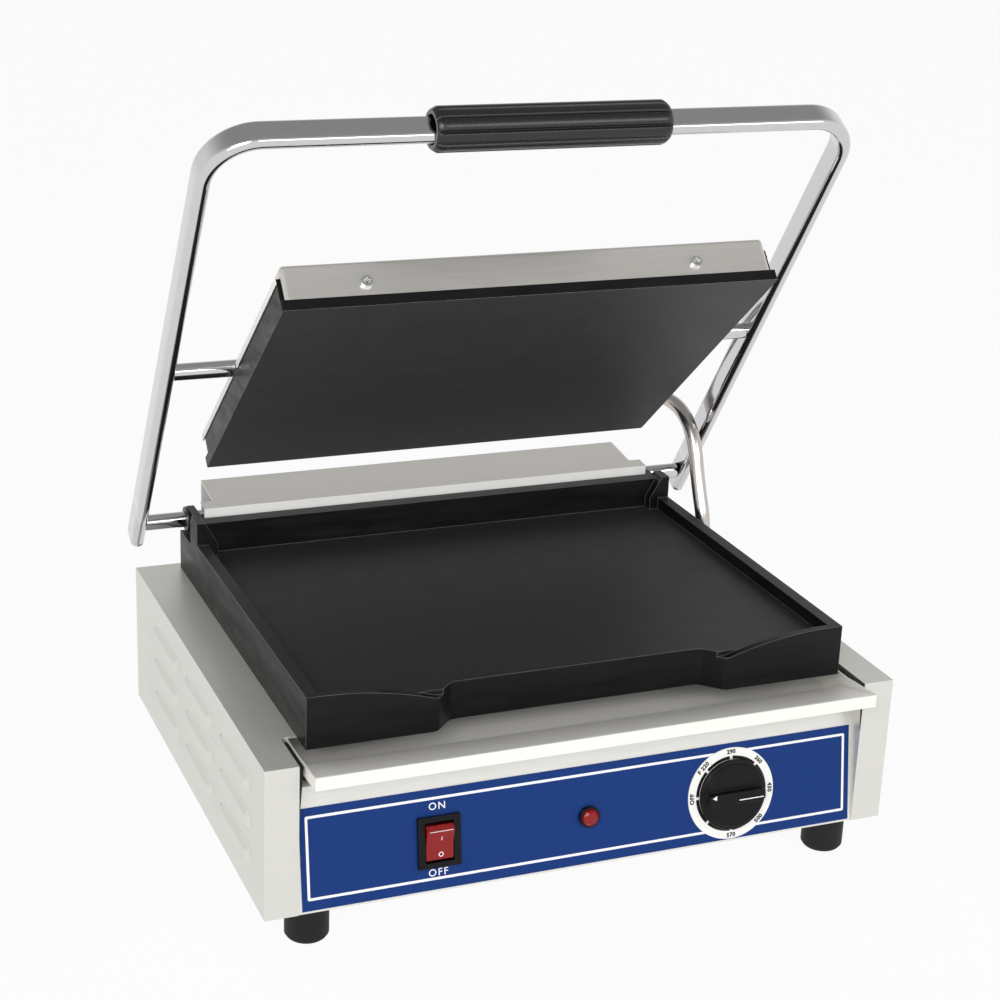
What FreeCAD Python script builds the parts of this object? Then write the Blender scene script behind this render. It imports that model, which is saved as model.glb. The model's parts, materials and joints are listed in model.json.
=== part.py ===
"""Panini press with a counterbalanced lid, modelled in its open position.

Millimetres. X runs to the right of someone facing the controls, Y runs to the back, Z runs up.
The origin lies on the floor under the middle of the machine.
"""
import FreeCAD, Part
import math
import os
import re
import Sketcher
from FreeCAD import Placement, Rotation, Vector

# Driving dimensions. Each one becomes a cell of the spreadsheet with this name as its alias.
SIZES = {
    # Housing
    "housing_width": 430,
    "housing_depth": 335,
    "housing_height": 101,
    "panel_gauge": 1.5,
    "front_flange": 21.5,
    "flange_return": 14,
    "rear_flange": 15,
    "bottom_flange": 45,
    "strip_width": 43,
    "strip_notch": 40,
    "louver_length": 54,
    "louver_height": 8,
    "louver_lift": 2.4,
    "louver_pitch_along": 88.5,
    "louver_pitch_up": 24.5,
    "louver_place": 14.5,
    "vent_length": 40,
    "vent_height": 4,
    "vent_pitch": 52,
    # Feet
    "foot_height": 25,
    "foot_radius": 14,
    "foot_side_inset": 32,
    "foot_end_inset": 17.5,
    "foot_bore": 8,
    # Fascia and its label
    "fascia_tilt": 8.7,
    "fascia_top_gap": 20,
    "fascia_gauge": 1.2,
    "fascia_flange": 12,
    "fascia_setback": 0.5,
    "fascia_lift": 6,
    "label_side_inset": 2.5,
    "label_bottom": 1.5,
    "label_gauge": 0.4,
    # Controls
    "switch_place": 102,
    "bezel_width": 28,
    "bezel_rise": 33.5,
    "bezel_gauge": 2.5,
    "well_width": 23,
    "well_rise": 28,
    "well_depth": 22,
    "rocker_width": 18,
    "rocker_reach": 13,
    "rocker_swing": 20,
    "rocker_pivot_depth": 3,
    "rocker_stub_radius": 1.5,
    "rocker_stub_seat": 1,
    "lamp_radius": 5,
    "lamp_bezel_radius": 7,
    "lamp_bezel_rise": 3,
    "lamp_depth": 24,
    "dial_place": 102,
    "dial_radius": 31.2,
    "dial_gauge": 1,
    "knob_gap": 0.8,
    "knob_radius": 25,
    "knob_skirt": 5,
    "knob_rise": 14,
    "knob_grip_width": 8.5,
    "spindle_radius": 3,
    "thermostat_width": 36,
    "thermostat_depth": 26,
    "thermostat_bush_radius": 5,
    # Drip tray
    "tray_side_gap": 3.5,
    "tray_gauge": 1.2,
    "tray_overhang": 20,
    "tray_lip": 8.5,
    "tray_length": 118,
    "tray_depth": 18,
    "tray_slope": 36,
    "rail_width": 6,
    # Lower griddle
    "casting_side_inset": 31,
    "casting_front_inset": 19,
    "casting_wall": 8.5,
    "ear_wall": 5,
    "cook_rise": 26,
    "rim_rise": 34.7,
    "plate_thickness": 13,
    "spout_width": 172,
    "spout_setback": 13.5,
    "spout_drop": 3.5,
    "ear_run": 76,
    "rear_wall_inset": 49.5,
    "rear_wall_thickness": 11,
    "rear_wall_rise": 48,
    "corner_rise": 51,
    "corner_top": 6,
    "corner_base": 15.5,
    "corner_depth": 15.5,
    "lug_rise": 47.5,
    "lug_inset": 4.5,
    "lug_thickness": 5.5,
    "lug_base_rise": 29,
    "recess_margin": 24,
    "recess_end_margin": 27.25,
    "bolt_grip": 9,
    # Hinge
    "hinge_inset": 13.5,
    "hinge_rise": 39,
    "shaft_radius": 5.7,
    "bush_wall": 1.25,
    "bush_flange": 2,
    "running_clearance": 0.05,
    "cover_gauge": 1.2,
    "cover_wide_gap": 2.25,
    "cover_narrow_gap": 11.2,
    "cover_top_rise": 59.7,
    "cover_fall": 5.5,
    "cover_lip": 15.7,
    "cover_lip_gap": 1.4,
    "cover_stud_x": 140,
    "spring_radius": 9.5,
    "spring_wire": 2.6,
    "spring_turns": 11,
    "spring_pitch": 3.4,
    "spring_place": 62,
    "collar_width": 8,
    "collar_radius": 13,
    "cap_rise": 3,
    # Handle
    "arm_outset": 0.8,
    "arm_thickness": 9.5,
    "arm_depth": 19.6,
    "tube_wall": 1.5,
    "arm_length": 375.3,
    "arm_tail": 12.4,
    "arm_angle": 56.7,
    "corner_radius": 32,
    "grip_length": 157,
    "grip_radius": 14.25,
    "groove_radius": 3.6,
    # Upper griddle
    "pin_distance": 165.3,
    "pin_radius": 5.7,
    "pin_rise": 23.4,
    "plate_tilt": 41.1,
    "upper_side_inset": 14,
    "upper_front": 131.3,
    "upper_back": 116,
    "upper_edge": 7.2,
    "upper_floor": 10,
    "upper_side_step": 0.8,
    "upper_cover_rise": 31.2,
    "upper_cover_drop": 7,
    "upper_cover_inset": 0.4,
    "upper_cover_back_inset": 3,
    "upper_cover_side_inset": 3.3,
    "boss_width": 28,
    "boss_length": 23,
    "upper_corner": 1.5,
    "upper_centre": -8,
    "upper_recess_reach": 101,
    "ring_gauge": 1.2,
    "cover_screw_x": 113.5,
    "cover_screw_rise": 16,
    "cover_screw_length": 12,
    "pad_rise": 5.2,
    # Heating elements
    "element_radius": 3.5,
    "element_pitch": 50,
    "element_side_gap": 54,
    "element_end": 12,
    "clamp_gauge": 1.5,
    "stud_radius": 3,
    "stud_place": 100,
    "shield_depth": 22,
    "lower_leg": 45,
    "upper_leg": 14,
    "capillary_radius": 0.8,
    "bulb_radius": 3,
    "bulb_length": 60,
    # Conduit between housing and lid
    "conduit_radius": 5.5,
    "conduit_inset": 15,
    "conduit_back": 80,
    "conduit_lid_inset": 50,
    "conduit_lid_back": 77,
    "gland_rise": 12,
    "gland_radius": 8.5,
    "gland_nut": 4,
    # Wiring
    "wire_radius": 1.3,
    "block_x": -60,
    "block_y": 70,
    "block_length": 50,
    # Mains entry
    "entry_place": -130,
    "entry_height": 40,
    "entry_bore": 4.5,
    "entry_reach": 21.5,
    "entry_thread_radius": 8,
    # Fasteners
    "screw_radius": 2,
    "screw_head_radius": 4,
    "screw_head_rise": 2.2,
    "bolt_radius": 3,
    "hole_gap": 0.1,
    "fit_gap": 0.3,
}

# Named formulas worked out from the driving dimensions.
DERIVED = {
    "half_width": "housing_width / 2",
    "half_depth": "housing_depth / 2",
    "deck": "foot_height + housing_height",
    "louver_level": "foot_height + housing_height / 2",
    "fascia_rise": "housing_height - fascia_top_gap",
    "label_rise": "fascia_rise - 15",
    "label_width": "2 * (flange_edge - label_side_inset)",
    "control_height": "label_bottom + label_rise / 2 - 1.1",
    "strip_edge": "half_width - strip_width",
    "flange_edge": "half_width - front_flange",
    "notch_line": "strip_notch - half_depth",
    "fascia_y": "fascia_setback - half_depth",
    "fascia_z": "foot_height",
    "pan_front": "0 - half_depth + 6",
    "pan_top": "foot_height + 2 * panel_gauge",
    "knob_back": "label_gauge + dial_gauge + knob_gap",
    "foot_x": "half_width - foot_side_inset",
    "foot_y": "half_depth - foot_end_inset",
    "rear_screw_x": "half_width - rear_flange / 2",
    "rear_screw_low": "foot_height + 12",
    "rear_screw_high": "deck - 14",
    "bolt_x": "casting_half - 5",
    "bolt_front": "tray_back + 14",
    "bolt_back": "rear_wall_place - 18",
    "shield_front": "tray_back + 9.5",
    "shield_back": "rear_wall_place + 2",
    "conduit_place": "half_width - conduit_inset",
    "conduit_lid_place": "upper_half - conduit_lid_inset",
    "gland_thread": "gland_radius - 1",
    "well_inner_width": "rocker_width + 1",
    "well_inner_rise": "2 * rocker_reach + 0.4",
    "rocker_lean": "rocker_swing / 2",
    "tray_width": "2 * (flange_edge - tray_side_gap)",
    "tray_front": "0 - half_depth - tray_overhang",
    "tray_back": "tray_front + tray_length",
    "tray_lip_top": "deck + 1.5",
    "tray_floor": "deck - tray_depth",
    "tray_wall_top": "deck - panel_gauge - fit_gap",
    "casting_front": "casting_front_inset - half_depth",
    "casting_half": "half_width - casting_side_inset",
    "casting_inner": "casting_half - casting_wall",
    "rear_wall_place": "half_depth - rear_wall_inset",
    "corner_start": "rear_wall_place - 7.5",
    "rear_wall_end": "rear_wall_place + rear_wall_thickness",
    "spout_half": "spout_width / 2",
    "spout_front": "casting_front + spout_setback",
    "ear_half": "spout_half + spout_setback",
    "cook_level": "deck + cook_rise",
    "rim_level": "deck + rim_rise",
    "recess_half": "(rear_wall_end - casting_front) / 2 - recess_end_margin",
    "lower_centre": "(rear_wall_end + casting_front) / 2 + 3.25",
    "recess_top": "cook_level - plate_thickness",
    "hinge_place": "half_depth - hinge_inset",
    "lug_end": "hinge_place + 9",
    "lug_outer": "casting_half - lug_inset",
    "lug_inner": "lug_outer - lug_thickness",
    "hinge_z": "deck + hinge_rise",
    "bush_radius": "shaft_radius + running_clearance + bush_wall",
    "cover_wide": "2 * (casting_inner - cover_wide_gap)",
    "cover_narrow": "2 * (casting_inner - cover_narrow_gap)",
    "cover_step": "hinge_place - 12.5",
    "cover_stud_y": "hinge_place + 6",
    "cover_back": "hinge_place + 21",
    "cover_top": "deck + cover_top_rise",
    "arm_half": "half_width + arm_outset",
    "arm_inner": "arm_half - arm_thickness / 2",
    "pin_y": "hinge_place - pin_distance * cos(arm_angle)",
    "pin_z": "hinge_z + pin_distance * sin(arm_angle)",
    "upper_half": "casting_half - upper_side_inset",
    "face": "0 - pin_rise",
    "upper_cover_half": "upper_half - upper_cover_side_inset",
    "upper_cover_top": "face + upper_cover_rise",
    "upper_cover_bottom": "face + upper_edge",
    "upper_body_half": "upper_cover_half - cover_gauge - fit_gap",
    "upper_side_half": "upper_half - upper_side_step",
    "upper_cover_front": "upper_cover_inset - upper_front",
    "upper_cover_back": "upper_back - upper_cover_back_inset",
    "cover_bend": "2.5 * cover_gauge",
    "cover_side_low": "upper_cover_top - upper_cover_drop",
    "upper_body_front": "upper_cover_front + cover_gauge + fit_gap",
    "upper_body_back": "upper_cover_back - cover_gauge - fit_gap",
    "upper_body_top": "cover_side_low - fit_gap",
    "upper_recess_floor": "face + upper_floor",
    "boss_inner": "upper_body_half - boss_length",
    "pin_end": "boss_inner - 4",
    "upper_recess_half": "upper_half - 21.25",
    "element_reach": "casting_half - element_side_gap",
    "capillary_x": "casting_half - 36",
    "cover_screw_z": "face + cover_screw_rise",
    "collar_place": "spring_place + spring_pitch * spring_turns + spring_wire / 2 + fit_gap",
    "boss_top": "upper_cover_top - cover_gauge - fit_gap",
    "lower_element_level": "recess_top - element_radius",
    "upper_element_level": "upper_recess_floor + element_radius",
}

WORD = re.compile(r"[a-z][a-z_]*")
AXES = {"X": Vector(1, 0, 0), "Y": Vector(0, 1, 0), "Z": Vector(0, 0, 1)}

doc = FreeCAD.newDocument("PaniniPress")
dims = doc.addObject("Spreadsheet::Sheet", "dims")
nodes = []


def fill_sheet():
    """Write every driving dimension into the spreadsheet."""
    for row, (name, size) in enumerate(SIZES.items(), start=1):
        dims.set(f"A{row}", str(size))
        dims.setAlias(f"A{row}", name)
    doc.recompute()


def bound(formula):
    """Rewrite a formula in size names as an expression that reads the spreadsheet."""
    def swap(match):
        word = match.group()
        if word in DERIVED:
            return f"({bound(DERIVED[word])})"
        return f"dims.{word}" if word in SIZES else word
    return WORD.sub(swap, str(formula))


def value(formula):
    """Number that a formula gives with the sizes now in the spreadsheet."""
    return float(dims.evalExpression(bound(formula)))


def bind(thing, path, formula):
    """Tie one property of an object to a formula."""
    thing.setExpression(path, bound(formula))


def node(name, thing):
    """Name a finished sub-part, which is then written to its own file."""
    thing.Label = name
    nodes.append(thing)
    return thing


# ---------------------------------------------------------------- primitives and booleans

def place(thing, x, y, z, rotation=None):
    """Put an object at a point given by formulas, turned by a fixed rotation."""
    thing.Placement = Placement(Vector(value(x), value(y), value(z)), rotation or Rotation())
    bind(thing, "Placement.Base.x", x)
    bind(thing, "Placement.Base.y", y)
    bind(thing, "Placement.Base.z", z)
    return thing


def brick(x, y, z):
    """Box between two formulas along each axis."""
    box = doc.addObject("Part::Box", "Box")
    for side, (low, high) in zip(("Length", "Width", "Height"), (x, y, z)):
        bind(box, side, f"abs(({high}) - ({low}))")
    return place(box, *(f"min({low}; {high})" for low, high in (x, y, z)))


def rod(radius, axis, start, length):
    """Cylinder from a start point along an axis: X, Y, Z or the same with a minus sign."""
    cylinder = doc.addObject("Part::Cylinder", "Cylinder")
    bind(cylinder, "Radius", radius)
    bind(cylinder, "Height", length)
    way = AXES[axis[-1]] * (-1 if axis[0] == "-" else 1)
    return place(cylinder, *start, Rotation(Vector(0, 0, 1), way))


def hexagon(across, start, axis, length):
    """Hexagonal prism, its width across flats given by a formula."""
    prism = doc.addObject("Part::Prism", "Prism")
    prism.Polygon = 6
    bind(prism, "Circumradius", f"({across}) / (2 * cos(30))")
    bind(prism, "Height", length)
    way = AXES[axis[-1]] * (-1 if axis[0] == "-" else 1)
    return place(prism, *start, Rotation(Vector(0, 0, 1), way))


def join(*shapes):
    """One solid from several that touch or overlap."""
    union = doc.addObject("Part::MultiFuse", "Union")
    union.Shapes = list(shapes)
    union.Refine = True
    return union


def carve(base, *tools):
    """A solid with other solids taken out of it."""
    cut = doc.addObject("Part::Cut", "Cut")
    cut.Base = base
    cut.Tool = tools[0] if len(tools) == 1 else join(*tools)
    cut.Refine = True
    return cut


def bunch(*shapes):
    """Separate solids kept together in one node."""
    compound = doc.addObject("Part::Compound", "Bunch")
    compound.Links = list(shapes)
    return compound


def tilt(thing, angle, y, z):
    """Lean an object modelled in its own upright frame and stand it at its pivot."""
    thing.Placement = Placement(Vector(0, value(y), value(z)), Rotation(Vector(-1, 0, 0), value(angle)))
    bind(thing, "Placement.Rotation.Angle", angle)
    bind(thing, "Placement.Base.y", y)
    bind(thing, "Placement.Base.z", z)
    return thing


def on_fascia(thing):
    """Frame of the fascia: X across, Y into the machine, Z up the leaning face."""
    return tilt(thing, "fascia_tilt", "fascia_y", "fascia_z")


def on_lid(thing):
    """Frame of the upper griddle: origin on the pivot pins, Z away from its cooking face."""
    return tilt(thing, "plate_tilt", "pin_y", "pin_z")


def on_handle(thing):
    """Frame of the handle: origin on the hinge shaft, arms along -Y."""
    return tilt(thing, "arm_angle", "hinge_place", "hinge_z")


# ---------------------------------------------------------------- bodies with sketches

def bare_body():
    return doc.addObject("PartDesign::Body", "Body")


def new_body(name):
    return node(name, bare_body())


def origin_part(body, role):
    return next(part for part in body.Origin.OriginFeatures if part.Role == role)


def sketch_on(body, plane, lift="0"):
    """Empty sketch on one of the body's origin planes, lifted along the plane's normal."""
    sketch = body.newObject("Sketcher::SketchObject", "Sketch")
    sketch.AttachmentSupport = [(origin_part(body, plane + "_Plane"), "")]
    sketch.MapMode = "FlatFace"
    bind(sketch, "AttachmentOffset.Base.z", lift)
    return sketch


def pin_point(sketch, geometry, spot, across, up):
    """Fix a point of the sketch at two formulas measured from the origin."""
    for kind, formula in (("DistanceX", across), ("DistanceY", up)):
        rule = Sketcher.Constraint(kind, -1, 1, geometry, spot, value(formula))
        bind(sketch, f"Constraints[{sketch.addConstraint(rule)}]", formula)


def outline(sketch, corners):
    """Closed straight-sided outline through corners given as pairs of formulas."""
    points = [Vector(value(across), value(up), 0) for across, up in corners]
    first = sketch.GeometryCount
    count = len(corners)
    for here, there in zip(points, points[1:] + points[:1]):
        sketch.addGeometry(Part.LineSegment(here, there))
    for index, (across, up) in enumerate(corners):
        following = first + (index + 1) % count
        sketch.addConstraint(Sketcher.Constraint("Coincident", first + index, 2, following, 1))
        pin_point(sketch, first + index, 1, across, up)
    return sketch


def box_outline(sketch, across, up):
    """Rectangle between two formulas each way."""
    (left, right), (low, high) = across, up
    return outline(sketch, [(left, low), (right, low), (right, high), (left, high)])


def circle(sketch, across, up, radius):
    centre = Vector(value(across), value(up), 0)
    index = sketch.addGeometry(Part.Circle(centre, Vector(0, 0, 1), value(radius)))
    pin_point(sketch, index, 3, across, up)
    rule = sketch.addConstraint(Sketcher.Constraint("Radius", index, value(radius)))
    bind(sketch, f"Constraints[{rule}]", radius)
    return sketch


def oval(sketch, across, up, width, rise):
    """Upright slot shape with round ends: width is across, rise is its full height."""
    x, y, radius = value(across), value(up), value(width) / 2
    reach = value(rise) / 2 - radius
    top, bottom = Vector(x, y + reach, 0), Vector(x, y - reach, 0)
    right, left = Vector(radius, 0, 0), Vector(-radius, 0, 0)
    first = sketch.addGeometry(Part.ArcOfCircle(Part.Circle(top, Vector(0, 0, 1), radius), 0, math.pi))
    sketch.addGeometry(Part.LineSegment(top + left, bottom + left))
    lower = Part.Circle(bottom, Vector(0, 0, 1), radius)
    sketch.addGeometry(Part.ArcOfCircle(lower, math.pi, 2 * math.pi))
    sketch.addGeometry(Part.LineSegment(bottom + right, top + right))
    for index in range(4):
        following = first + (index + 1) % 4
        sketch.addConstraint(Sketcher.Constraint("Tangent", first + index, 2, following, 1))
    pin_point(sketch, first, 3, across, f"({up}) + ({rise}) / 2 - ({width}) / 2")
    pin_point(sketch, first + 2, 3, across, f"({up}) - ({rise}) / 2 + ({width}) / 2")
    rule = sketch.addConstraint(Sketcher.Constraint("Radius", first, radius))
    bind(sketch, f"Constraints[{rule}]", f"({width}) / 2")
    return sketch


def extrude(kind, body, sketch, length, both_ways, backwards):
    feature = body.newObject("PartDesign::" + kind, kind)
    feature.Profile = sketch
    feature.SideType = "Symmetric" if both_ways else "One side"
    feature.Reversed = backwards
    bind(feature, "Length", length)
    return feature


def pad(body, sketch, length, both_ways=False, backwards=False):
    return extrude("Pad", body, sketch, length, both_ways, backwards)


def pocket(body, sketch, length, both_ways=False, backwards=False):
    return extrude("Pocket", body, sketch, length, both_ways, backwards)


def row_of(body, axis, length, count):
    """Linear pattern along one of the body's axes; length is from the first copy to the last."""
    pattern = body.newObject("PartDesign::LinearPattern", "Row")
    pattern.Direction = (origin_part(body, axis + "_Axis"), [""])
    bind(pattern, "Length", length)
    pattern.Occurrences = count
    return pattern


def repeat(body, features, *rows):
    """Repeat features over one or more rows."""
    grid = body.newObject("PartDesign::MultiTransform", "Grid")
    grid.Originals = list(features)
    grid.Transformations = list(rows)
    body.Tip = grid
    return grid


def fillet(body, radius, wanted):
    """Round those edges of the body whose middle point passes a test."""
    doc.recompute()
    tip = body.Tip
    names = []
    for index, edge in enumerate(tip.Shape.Edges, start=1):
        middle = edge.valueAt((edge.FirstParameter + edge.LastParameter) / 2)
        if wanted(middle, edge):
            names.append(f"Edge{index}")
    feature = body.newObject("PartDesign::Fillet", "Fillet")
    feature.Base = (tip, names)
    bind(feature, "Radius", radius)
    return feature


def along(edge, axis):
    """Whether an edge is straight and runs along an axis."""
    if edge.Curve.TypeId != "Part::GeomLine":
        return False
    return abs(edge.Curve.Direction.dot(AXES[axis])) > 0.999


# ---------------------------------------------------------------- pipes, wires and screws

def route(points, share=0.45, bend=None):
    """Straight runs joined by tangent arcs, each as large as its two runs allow or of one radius."""
    edges = []
    start = points[0]
    for before, corner, after in zip(points, points[1:], points[2:]):
        arriving = corner - before
        leaving = after - corner
        turn = arriving.getAngle(leaving)
        reach = share * min(arriving.Length, leaving.Length)
        if bend is not None:
            reach = bend * math.tan(turn / 2)
        radius = reach / math.tan(turn / 2)
        arriving.normalize()
        leaving.normalize()
        arc_start = corner - arriving * reach
        arc_end = corner + leaving * reach
        inward = (leaving - arriving).normalize()
        middle = corner + inward * (radius / math.cos(turn / 2) - radius)
        edges.append(Part.LineSegment(start, arc_start).toShape())
        edges.append(Part.Arc(arc_start, middle, arc_end).toShape())
        start = arc_end
    edges.append(Part.LineSegment(start, points[-1]).toShape())
    return Part.Wire(edges)


def pipe(points, radius, bend=None):
    """Round pipe along a route."""
    path = route(points, bend=bend)
    start = points[0]
    section = Part.Wire(Part.makeCircle(radius, start, points[1] - start))
    return path.makePipeShell([section], True, True)


def feature(shape):
    """Object that holds a shape worked out directly."""
    thing = doc.addObject("Part::Feature", "Shape")
    thing.Shape = shape
    return thing


def point(*formulas):
    return Vector(*(value(formula) for formula in formulas))


FACING = {
    "up": Rotation(),
    "down": Rotation(Vector(1, 0, 0), 180),
    "front": Rotation(Vector(1, 0, 0), 90),
    "back": Rotation(Vector(1, 0, 0), -90),
}


def screw(x, y, z, facing, length, radius="screw_radius", head="screw_head_radius"):
    """Pan-head screw with a cross recess; its head sits on the surface at the point given."""
    shank = rod(radius, "-Z", ("0", "0", "0"), length)
    cap = rod(head, "Z", ("0", "0", "0"), "screw_head_rise")
    arm, slot = f"({head}) * 0.55", "0.5"
    deep, top = "screw_head_rise * 0.45", "screw_head_rise"
    blades = [
        brick((f"0 - {arm}", arm), (f"0 - {slot}", slot), (deep, top)),
        brick((f"0 - {slot}", slot), (f"0 - {arm}", arm), (deep, top)),
    ]
    return place(carve(join(cap, shank), *blades), x, y, z, FACING[facing])


def nut(x, y, z, facing, stud_length, across="stud_radius * 3.2"):
    """Hexagon nut on the end of a stud; the nut sits on the surface at the point given."""
    body = hexagon(across, ("0", "0", "0"), "Z", "stud_radius * 1.6")
    stud = rod("stud_radius", "Z", ("0", "0", f"0 - ({stud_length})"),
               f"{stud_length} + stud_radius * 2")
    return place(join(body, stud), x, y, z, FACING[facing])


def corners_of(x, y):
    """Four points placed symmetrically about the middle, as pairs of formulas."""
    return [(f"{side} * ({x})", depth) for side in (-1, 1) for depth in y]


# ---------------------------------------------------------------- housing

def side_panel(name, side):
    """Folded sheet side: outer wall, front and rear flanges, top strip, bottom flange and louvers."""
    body = new_body(name)

    def out(formula):
        return f"{side} * ({formula})"

    wall, edge = out("half_width"), out("flange_edge")
    inside, folded = out("half_width - panel_gauge"), out("flange_edge + panel_gauge")
    tail, foot = out("half_width - rear_flange"), out("half_width - bottom_flange")
    pad(body, outline(sketch_on(body, "XY", "foot_height"), [
        (wall, "-half_depth"), (wall, "half_depth"),
        (tail, "half_depth"), (tail, "half_depth - panel_gauge"),
        (inside, "half_depth - panel_gauge"), (inside, "panel_gauge - half_depth"),
        (folded, "panel_gauge - half_depth"), (folded, "flange_return - half_depth"),
        (edge, "flange_return - half_depth"), (edge, "-half_depth")]), "housing_height")
    pad(body, outline(sketch_on(body, "XY", "deck - panel_gauge"), [
        (wall, "-half_depth"), (wall, "half_depth"),
        (out("strip_edge"), "half_depth"), (out("strip_edge"), "notch_line"),
        (edge, "notch_line"), (edge, "-half_depth")]), "panel_gauge")
    pad(body, box_outline(sketch_on(body, "XY", "foot_height"),
                          (foot, out("half_width - panel_gauge / 2")),
                          ("pan_front", "half_depth - panel_gauge / 2")), "panel_gauge")
    panel_holes(body, out, with_gland=side > 0)
    louvers(body, out)


def panel_holes(body, out, with_gland):
    """Holes for the foot screws, griddle bolts, rear screws and, on one side, the conduit gland."""
    low = sketch_on(body, "XY", "foot_height")
    for depth in ("-foot_y", "foot_y"):
        circle(low, out("foot_x"), depth, "screw_radius + hole_gap")
    pocket(body, low, "panel_gauge", backwards=True)
    high = sketch_on(body, "XY", "deck")
    for depth in ("bolt_front", "bolt_back"):
        circle(high, out("bolt_x"), depth, "bolt_radius + hole_gap")
    if with_gland:
        circle(high, "conduit_place", "conduit_back", "gland_thread + hole_gap")
    pocket(body, high, "panel_gauge")
    rear = sketch_on(body, "XZ", "-half_depth")
    for level in ("rear_screw_low", "rear_screw_high"):
        circle(rear, out("rear_screw_x"), level, "screw_radius + hole_gap")
    pocket(body, rear, "panel_gauge", backwards=True)


def louvers(body, out):
    """Three columns of three louvers, pressed outwards and open along the bottom."""
    column = "0 - louver_place + louver_pitch_along"
    low = "louver_level - louver_pitch_up - louver_height / 2"
    skin = "half_width"
    hood = pad(body, outline(sketch_on(body, "XZ", column), [
        (out(f"{skin} - panel_gauge / 2"), low), (out(f"{skin} + louver_lift"), low),
        (out(f"{skin} + louver_lift - panel_gauge / 2"), f"{low} + panel_gauge"),
        (out(f"{skin} - panel_gauge / 2"), f"{low} + louver_height")]),
        "louver_length", both_ways=True)
    slot = pocket(body, outline(sketch_on(body, "XZ", column), [
        (out(f"{skin} - panel_gauge * 1.5"), f"{low} - 1"),
        (out(f"{skin} + louver_lift - panel_gauge"), f"{low} - 1"),
        (out(f"{skin} + louver_lift - panel_gauge"), f"{low} + panel_gauge / 2"),
        (out(f"{skin} - panel_gauge * 1.5"), f"{low} + louver_height - panel_gauge * 2")]),
        "louver_length - 2 * panel_gauge", both_ways=True)
    repeat(body, (hood, slot), row_of(body, "Y", "2 * louver_pitch_along", 3),
           row_of(body, "Z", "2 * louver_pitch_up", 3))


def base_plate():
    body = new_body("base_plate")
    side, corner = "half_width - panel_gauge", "flange_return - half_depth"
    back = "half_depth - 2 * panel_gauge"
    pad(body, outline(sketch_on(body, "XY", "foot_height + panel_gauge"), [
        (f"0 - ({side})", back), (f"0 - ({side})", corner),
        ("-flange_edge", corner), ("-flange_edge", "pan_front"),
        ("flange_edge", "pan_front"), ("flange_edge", corner), (side, corner), (side, back)]),
        "panel_gauge")
    holes = sketch_on(body, "XY", "pan_top")
    for x, y in corners_of("foot_x", ("-foot_y", "foot_y")):
        circle(holes, x, y, "screw_radius + hole_gap")
    circle(holes, "block_x + block_length", "block_y", "stud_radius + hole_gap")
    pocket(body, holes, "panel_gauge")
    slots = sketch_on(body, "XY", "pan_top")
    box_outline(slots, ("0 - 2 * vent_pitch - vent_length / 2", "vent_length / 2 - 2 * vent_pitch"),
                ("-30", "vent_height - 30"))
    slot = pocket(body, slots, "panel_gauge")
    repeat(body, (slot,), row_of(body, "X", "4 * vent_pitch", 5), row_of(body, "Y", "60", 3))


def rear_panel():
    """Rear wall with vent slots and the mains entry, and the deck flange under the hinge cover."""
    body = new_body("rear_panel")
    outer = "half_depth - panel_gauge"
    pad(body, box_outline(sketch_on(body, "XZ", f"0 - ({outer})"),
                          ("panel_gauge - half_width", "half_width - panel_gauge"),
                          ("foot_height + panel_gauge", "deck - panel_gauge")),
        "panel_gauge")
    pad(body, box_outline(sketch_on(body, "XY", "deck - panel_gauge"), ("-strip_edge", "strip_edge"),
                          ("rear_wall_end", outer)), "panel_gauge")
    holes = sketch_on(body, "XZ", f"0 - ({outer})")
    circle(holes, "entry_place", "foot_height + entry_height", "entry_thread_radius + hole_gap")
    for x, z in corners_of("rear_screw_x", ("rear_screw_low", "rear_screw_high")):
        circle(holes, x, z, "screw_radius + hole_gap")
    pocket(body, holes, "panel_gauge * 3", both_ways=True)
    studs = sketch_on(body, "XY", "deck")
    for x in ("-cover_stud_x", "0", "cover_stud_x"):
        circle(studs, x, "cover_stud_y", "screw_radius + hole_gap")
    pocket(body, studs, "panel_gauge")
    vents = box_outline(sketch_on(body, "XZ", f"0 - ({outer})"),
                        ("0 - vent_length / 2", "vent_length / 2"),
                        ("deck - 36", "deck - 36 + vent_height"))
    slot = pocket(body, vents, "panel_gauge * 3", both_ways=True)
    repeat(body, (slot,), row_of(body, "X", "3 * vent_pitch", 4), row_of(body, "Z", "12", 2))


def rubber_feet():
    feet = []
    for x, y in corners_of("foot_x", ("-foot_y", "foot_y")):
        foot = bare_body()
        profile = outline(sketch_on(foot, "XZ"), [
            ("screw_radius + hole_gap", "foot_bore"), ("screw_head_radius + 1", "foot_bore"),
            ("screw_head_radius + 1", "0"), ("foot_radius - 2", "0"), ("foot_radius", "3"),
            ("foot_radius", "foot_height"), ("screw_radius + hole_gap", "foot_height")])
        spin = foot.newObject("PartDesign::Revolution", "Revolution")
        spin.Profile = profile
        spin.ReferenceAxis = (profile, ["V_Axis"])
        spin.Angle = 360
        feet.append(place(foot, x, y, "0"))
    node("rubber_feet", bunch(*feet))
    screws = [screw(x, y, "foot_bore", "down", "foot_height - foot_bore + 3 * panel_gauge")
              for x, y in corners_of("foot_x", ("-foot_y", "foot_y"))]
    node("foot_screws", bunch(*screws))


def housing_fasteners():
    rear = [screw(x, "half_depth", z, "back", "4 * panel_gauge")
            for x, z in corners_of("rear_screw_x", ("rear_screw_low", "rear_screw_high"))]
    node("rear_panel_screws", bunch(*rear))
    bolts = [screw(x, y, "deck - panel_gauge", "down", "panel_gauge + bolt_grip",
                   "bolt_radius", "bolt_radius + 2")
             for x, y in corners_of("bolt_x", ("bolt_front", "bolt_back"))]
    node("griddle_bolts", bunch(*bolts))


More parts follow.
